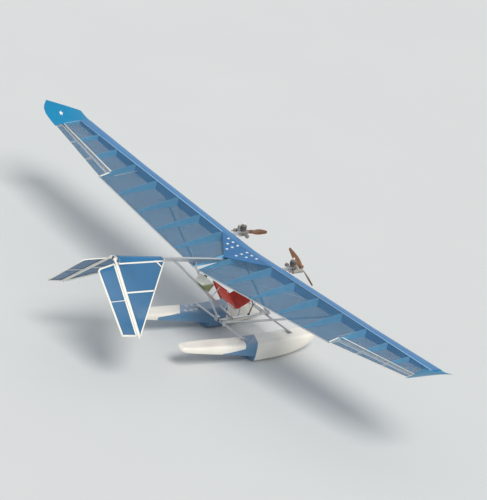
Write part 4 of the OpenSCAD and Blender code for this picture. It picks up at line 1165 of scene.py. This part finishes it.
# Height of the engine's axis, and of the plug's cap over it
AXIS_Z = 1.8139
PLUG_RISE = 0.195
PLUG_PROFILE = ((0.018, -0.024), (0.018, 0.008), (0.014, 0.016), (0.005, 0.018))
JOINT_FACE_X = 0.0363
JOINT_BOLT = ((0.0085, -0.001), (0.0085, 0.005))
KEEL_BOLT_YS = (-0.925, BRACE_Y + 0.014)
BOOM_BOLT_YS = (0.020, BRACE_TOP_Y)
SPREADER_YS = (-0.880, 0.220)
# Bolts sit this far from the middle of each spreader's foot, along x and y
FOOT_BOLT_X = 0.032
FOOT_BOLT_Y = 0.040
FOOT_TOP_Z = 0.4173
FOOT_BOLT = ((0.007, -0.001), (0.007, 0.004))
UP = Vector((0, 0, 1))


def dress_engines():
    """White plug caps on the cylinder heads."""
    for mark, side in SIDES.items():
        caps = Form()
        caps.turned((side * ENGINE_X, BARREL_Y, AXIS_Z + PLUG_RISE), UP, PLUG_PROFILE, sides=16)
        caps.piece(f"plug_cap_{mark}", PLUG_CERAMIC, "engine_metal")


def dress_bolts():
    """Hexagon heads at the frame's joints and the spreaders' feet."""
    heads = Form()
    joints = [(y, KEEL_Z) for y in KEEL_BOLT_YS]
    joints += [(y, BOOM_Z + y * math.tan(BOOM_RISE)) for y in BOOM_BOLT_YS]
    for side in SIDES.values():
        for y, z in joints:
            heads.turned((side * JOINT_FACE_X, SPAR_Y + y, z), (side, 0, 0), JOINT_BOLT, sides=6)
        for y in SPREADER_YS:
            for u in (-FOOT_BOLT_X, FOOT_BOLT_X):
                for v in (-FOOT_BOLT_Y, FOOT_BOLT_Y):
                    spot = (side * FLOAT_X + u, SPAR_Y + y + v, FOOT_TOP_Z)
                    heads.turned(spot, UP, FOOT_BOLT, sides=6)
    heads.piece("bolt_heads", LOOKS["exhaust_metal"], "exhaust_metal")


# Stage, light and camera

PHOTO_W = 487
PHOTO_H = 500
FOCAL_PX = 4668.8
CAMERA_AT = Vector((-55.2025, SPAR_Y + 54.9107, 36.2240))
CAMERA_HEADING = math.radians(-134.8038)
CAMERA_PITCH = math.radians(66.1934)
CAMERA_ROLL = math.radians(13.4523)
FLOOR_HALF = 250.0
FLOOR_DROP = 0.001
SUN_TOWARDS = Vector((-0.62, 0.30, 0.78))
SUN_STRENGTH = 2.3
SUN_WIDTH = math.radians(22)
SUN_WARM = (1.0, 0.97, 0.92)
SKY_STRENGTH = 0.5


def add_camera():
    data = bpy.data.cameras.new("photo_camera")
    data.sensor_width = 36.0
    data.lens = FOCAL_PX / max(PHOTO_W, PHOTO_H) * data.sensor_width
    data.clip_start = 1.0
    data.clip_end = 600.0
    camera = add_object("photo_camera", data)
    turn = Matrix.Rotation(CAMERA_HEADING, 4, "Z") @ Matrix.Rotation(CAMERA_PITCH, 4, "X")
    camera.matrix_world = Matrix.Translation(CAMERA_AT) @ turn @ Matrix.Rotation(CAMERA_ROLL, 4, "Z")
    bpy.context.scene.camera = camera


def add_floor():
    mesh = bpy.data.meshes.new("floor")
    corners = ((-1, -1), (1, -1), (1, 1), (-1, 1))
    mesh.from_pydata([(x * FLOOR_HALF, y * FLOOR_HALF, -FLOOR_DROP) for x, y in corners], [], [(0, 1, 2, 3)])
    floor = add_object("floor", mesh)
    dress(floor, plain("floor_look", FLOOR_PALE, 0.8, spread=0.01, scale=0.4, grain=3.0))


def add_sun():
    """One soft sun from behind and to the right."""
    data = bpy.data.lights.new("key_sun", "SUN")
    data.energy = SUN_STRENGTH
    data.angle = SUN_WIDTH
    data.color = SUN_WARM
    sun = add_object("key_sun", data)
    sun.rotation_euler = SUN_TOWARDS.to_track_quat("Z", "Y").to_euler()


def add_sky():
    """An even sky that shows pale to the camera and in gloss."""
    world = bpy.data.worlds.new("studio")
    bpy.context.scene.world = world
    world.use_nodes = True
    tree = world.node_tree
    lit = tree.nodes["Background"]
    lit.inputs["Color"].default_value = linear(SKY_COOL) + [1]
    lit.inputs["Strength"].default_value = SKY_STRENGTH
    seen = tree.nodes.new("ShaderNodeBackground")
    seen.inputs["Color"].default_value = linear(SKY_PALE) + [1]
    path = tree.nodes.new("ShaderNodeLightPath")
    shown = path.outputs["Is Camera Ray"]
    for name in ("Is Glossy Ray", "Is Transmission Ray"):
        either = tree.nodes.new("ShaderNodeMath")
        either.operation = "MAXIMUM"
        tree.links.new(shown, either.inputs[0])
        tree.links.new(path.outputs[name], either.inputs[1])
        shown = either.outputs["Value"]
    mixed = tree.nodes.new("ShaderNodeMixShader")
    tree.links.new(shown, mixed.inputs["Fac"])
    tree.links.new(lit.outputs["Background"], mixed.inputs[1])
    tree.links.new(seen.outputs["Background"], mixed.inputs[2])
    tree.links.new(mixed.outputs["Shader"], tree.nodes["World Output"].inputs["Surface"])


dress_frame()
for mark, side in SIDES.items():
    dress_wing(mark)
    dress_fin(mark, side)
    dress_ruddervator(mark, side)
dress_patch()
dress_nose_gap()
dress_cover()
dress_stars()
dress_seat()
dress_tank()
dress_engines()
dress_bolts()
add_floor()
add_sun()
add_sky()
add_camera()
bpy.context.scene.view_settings.view_transform = "Standard"
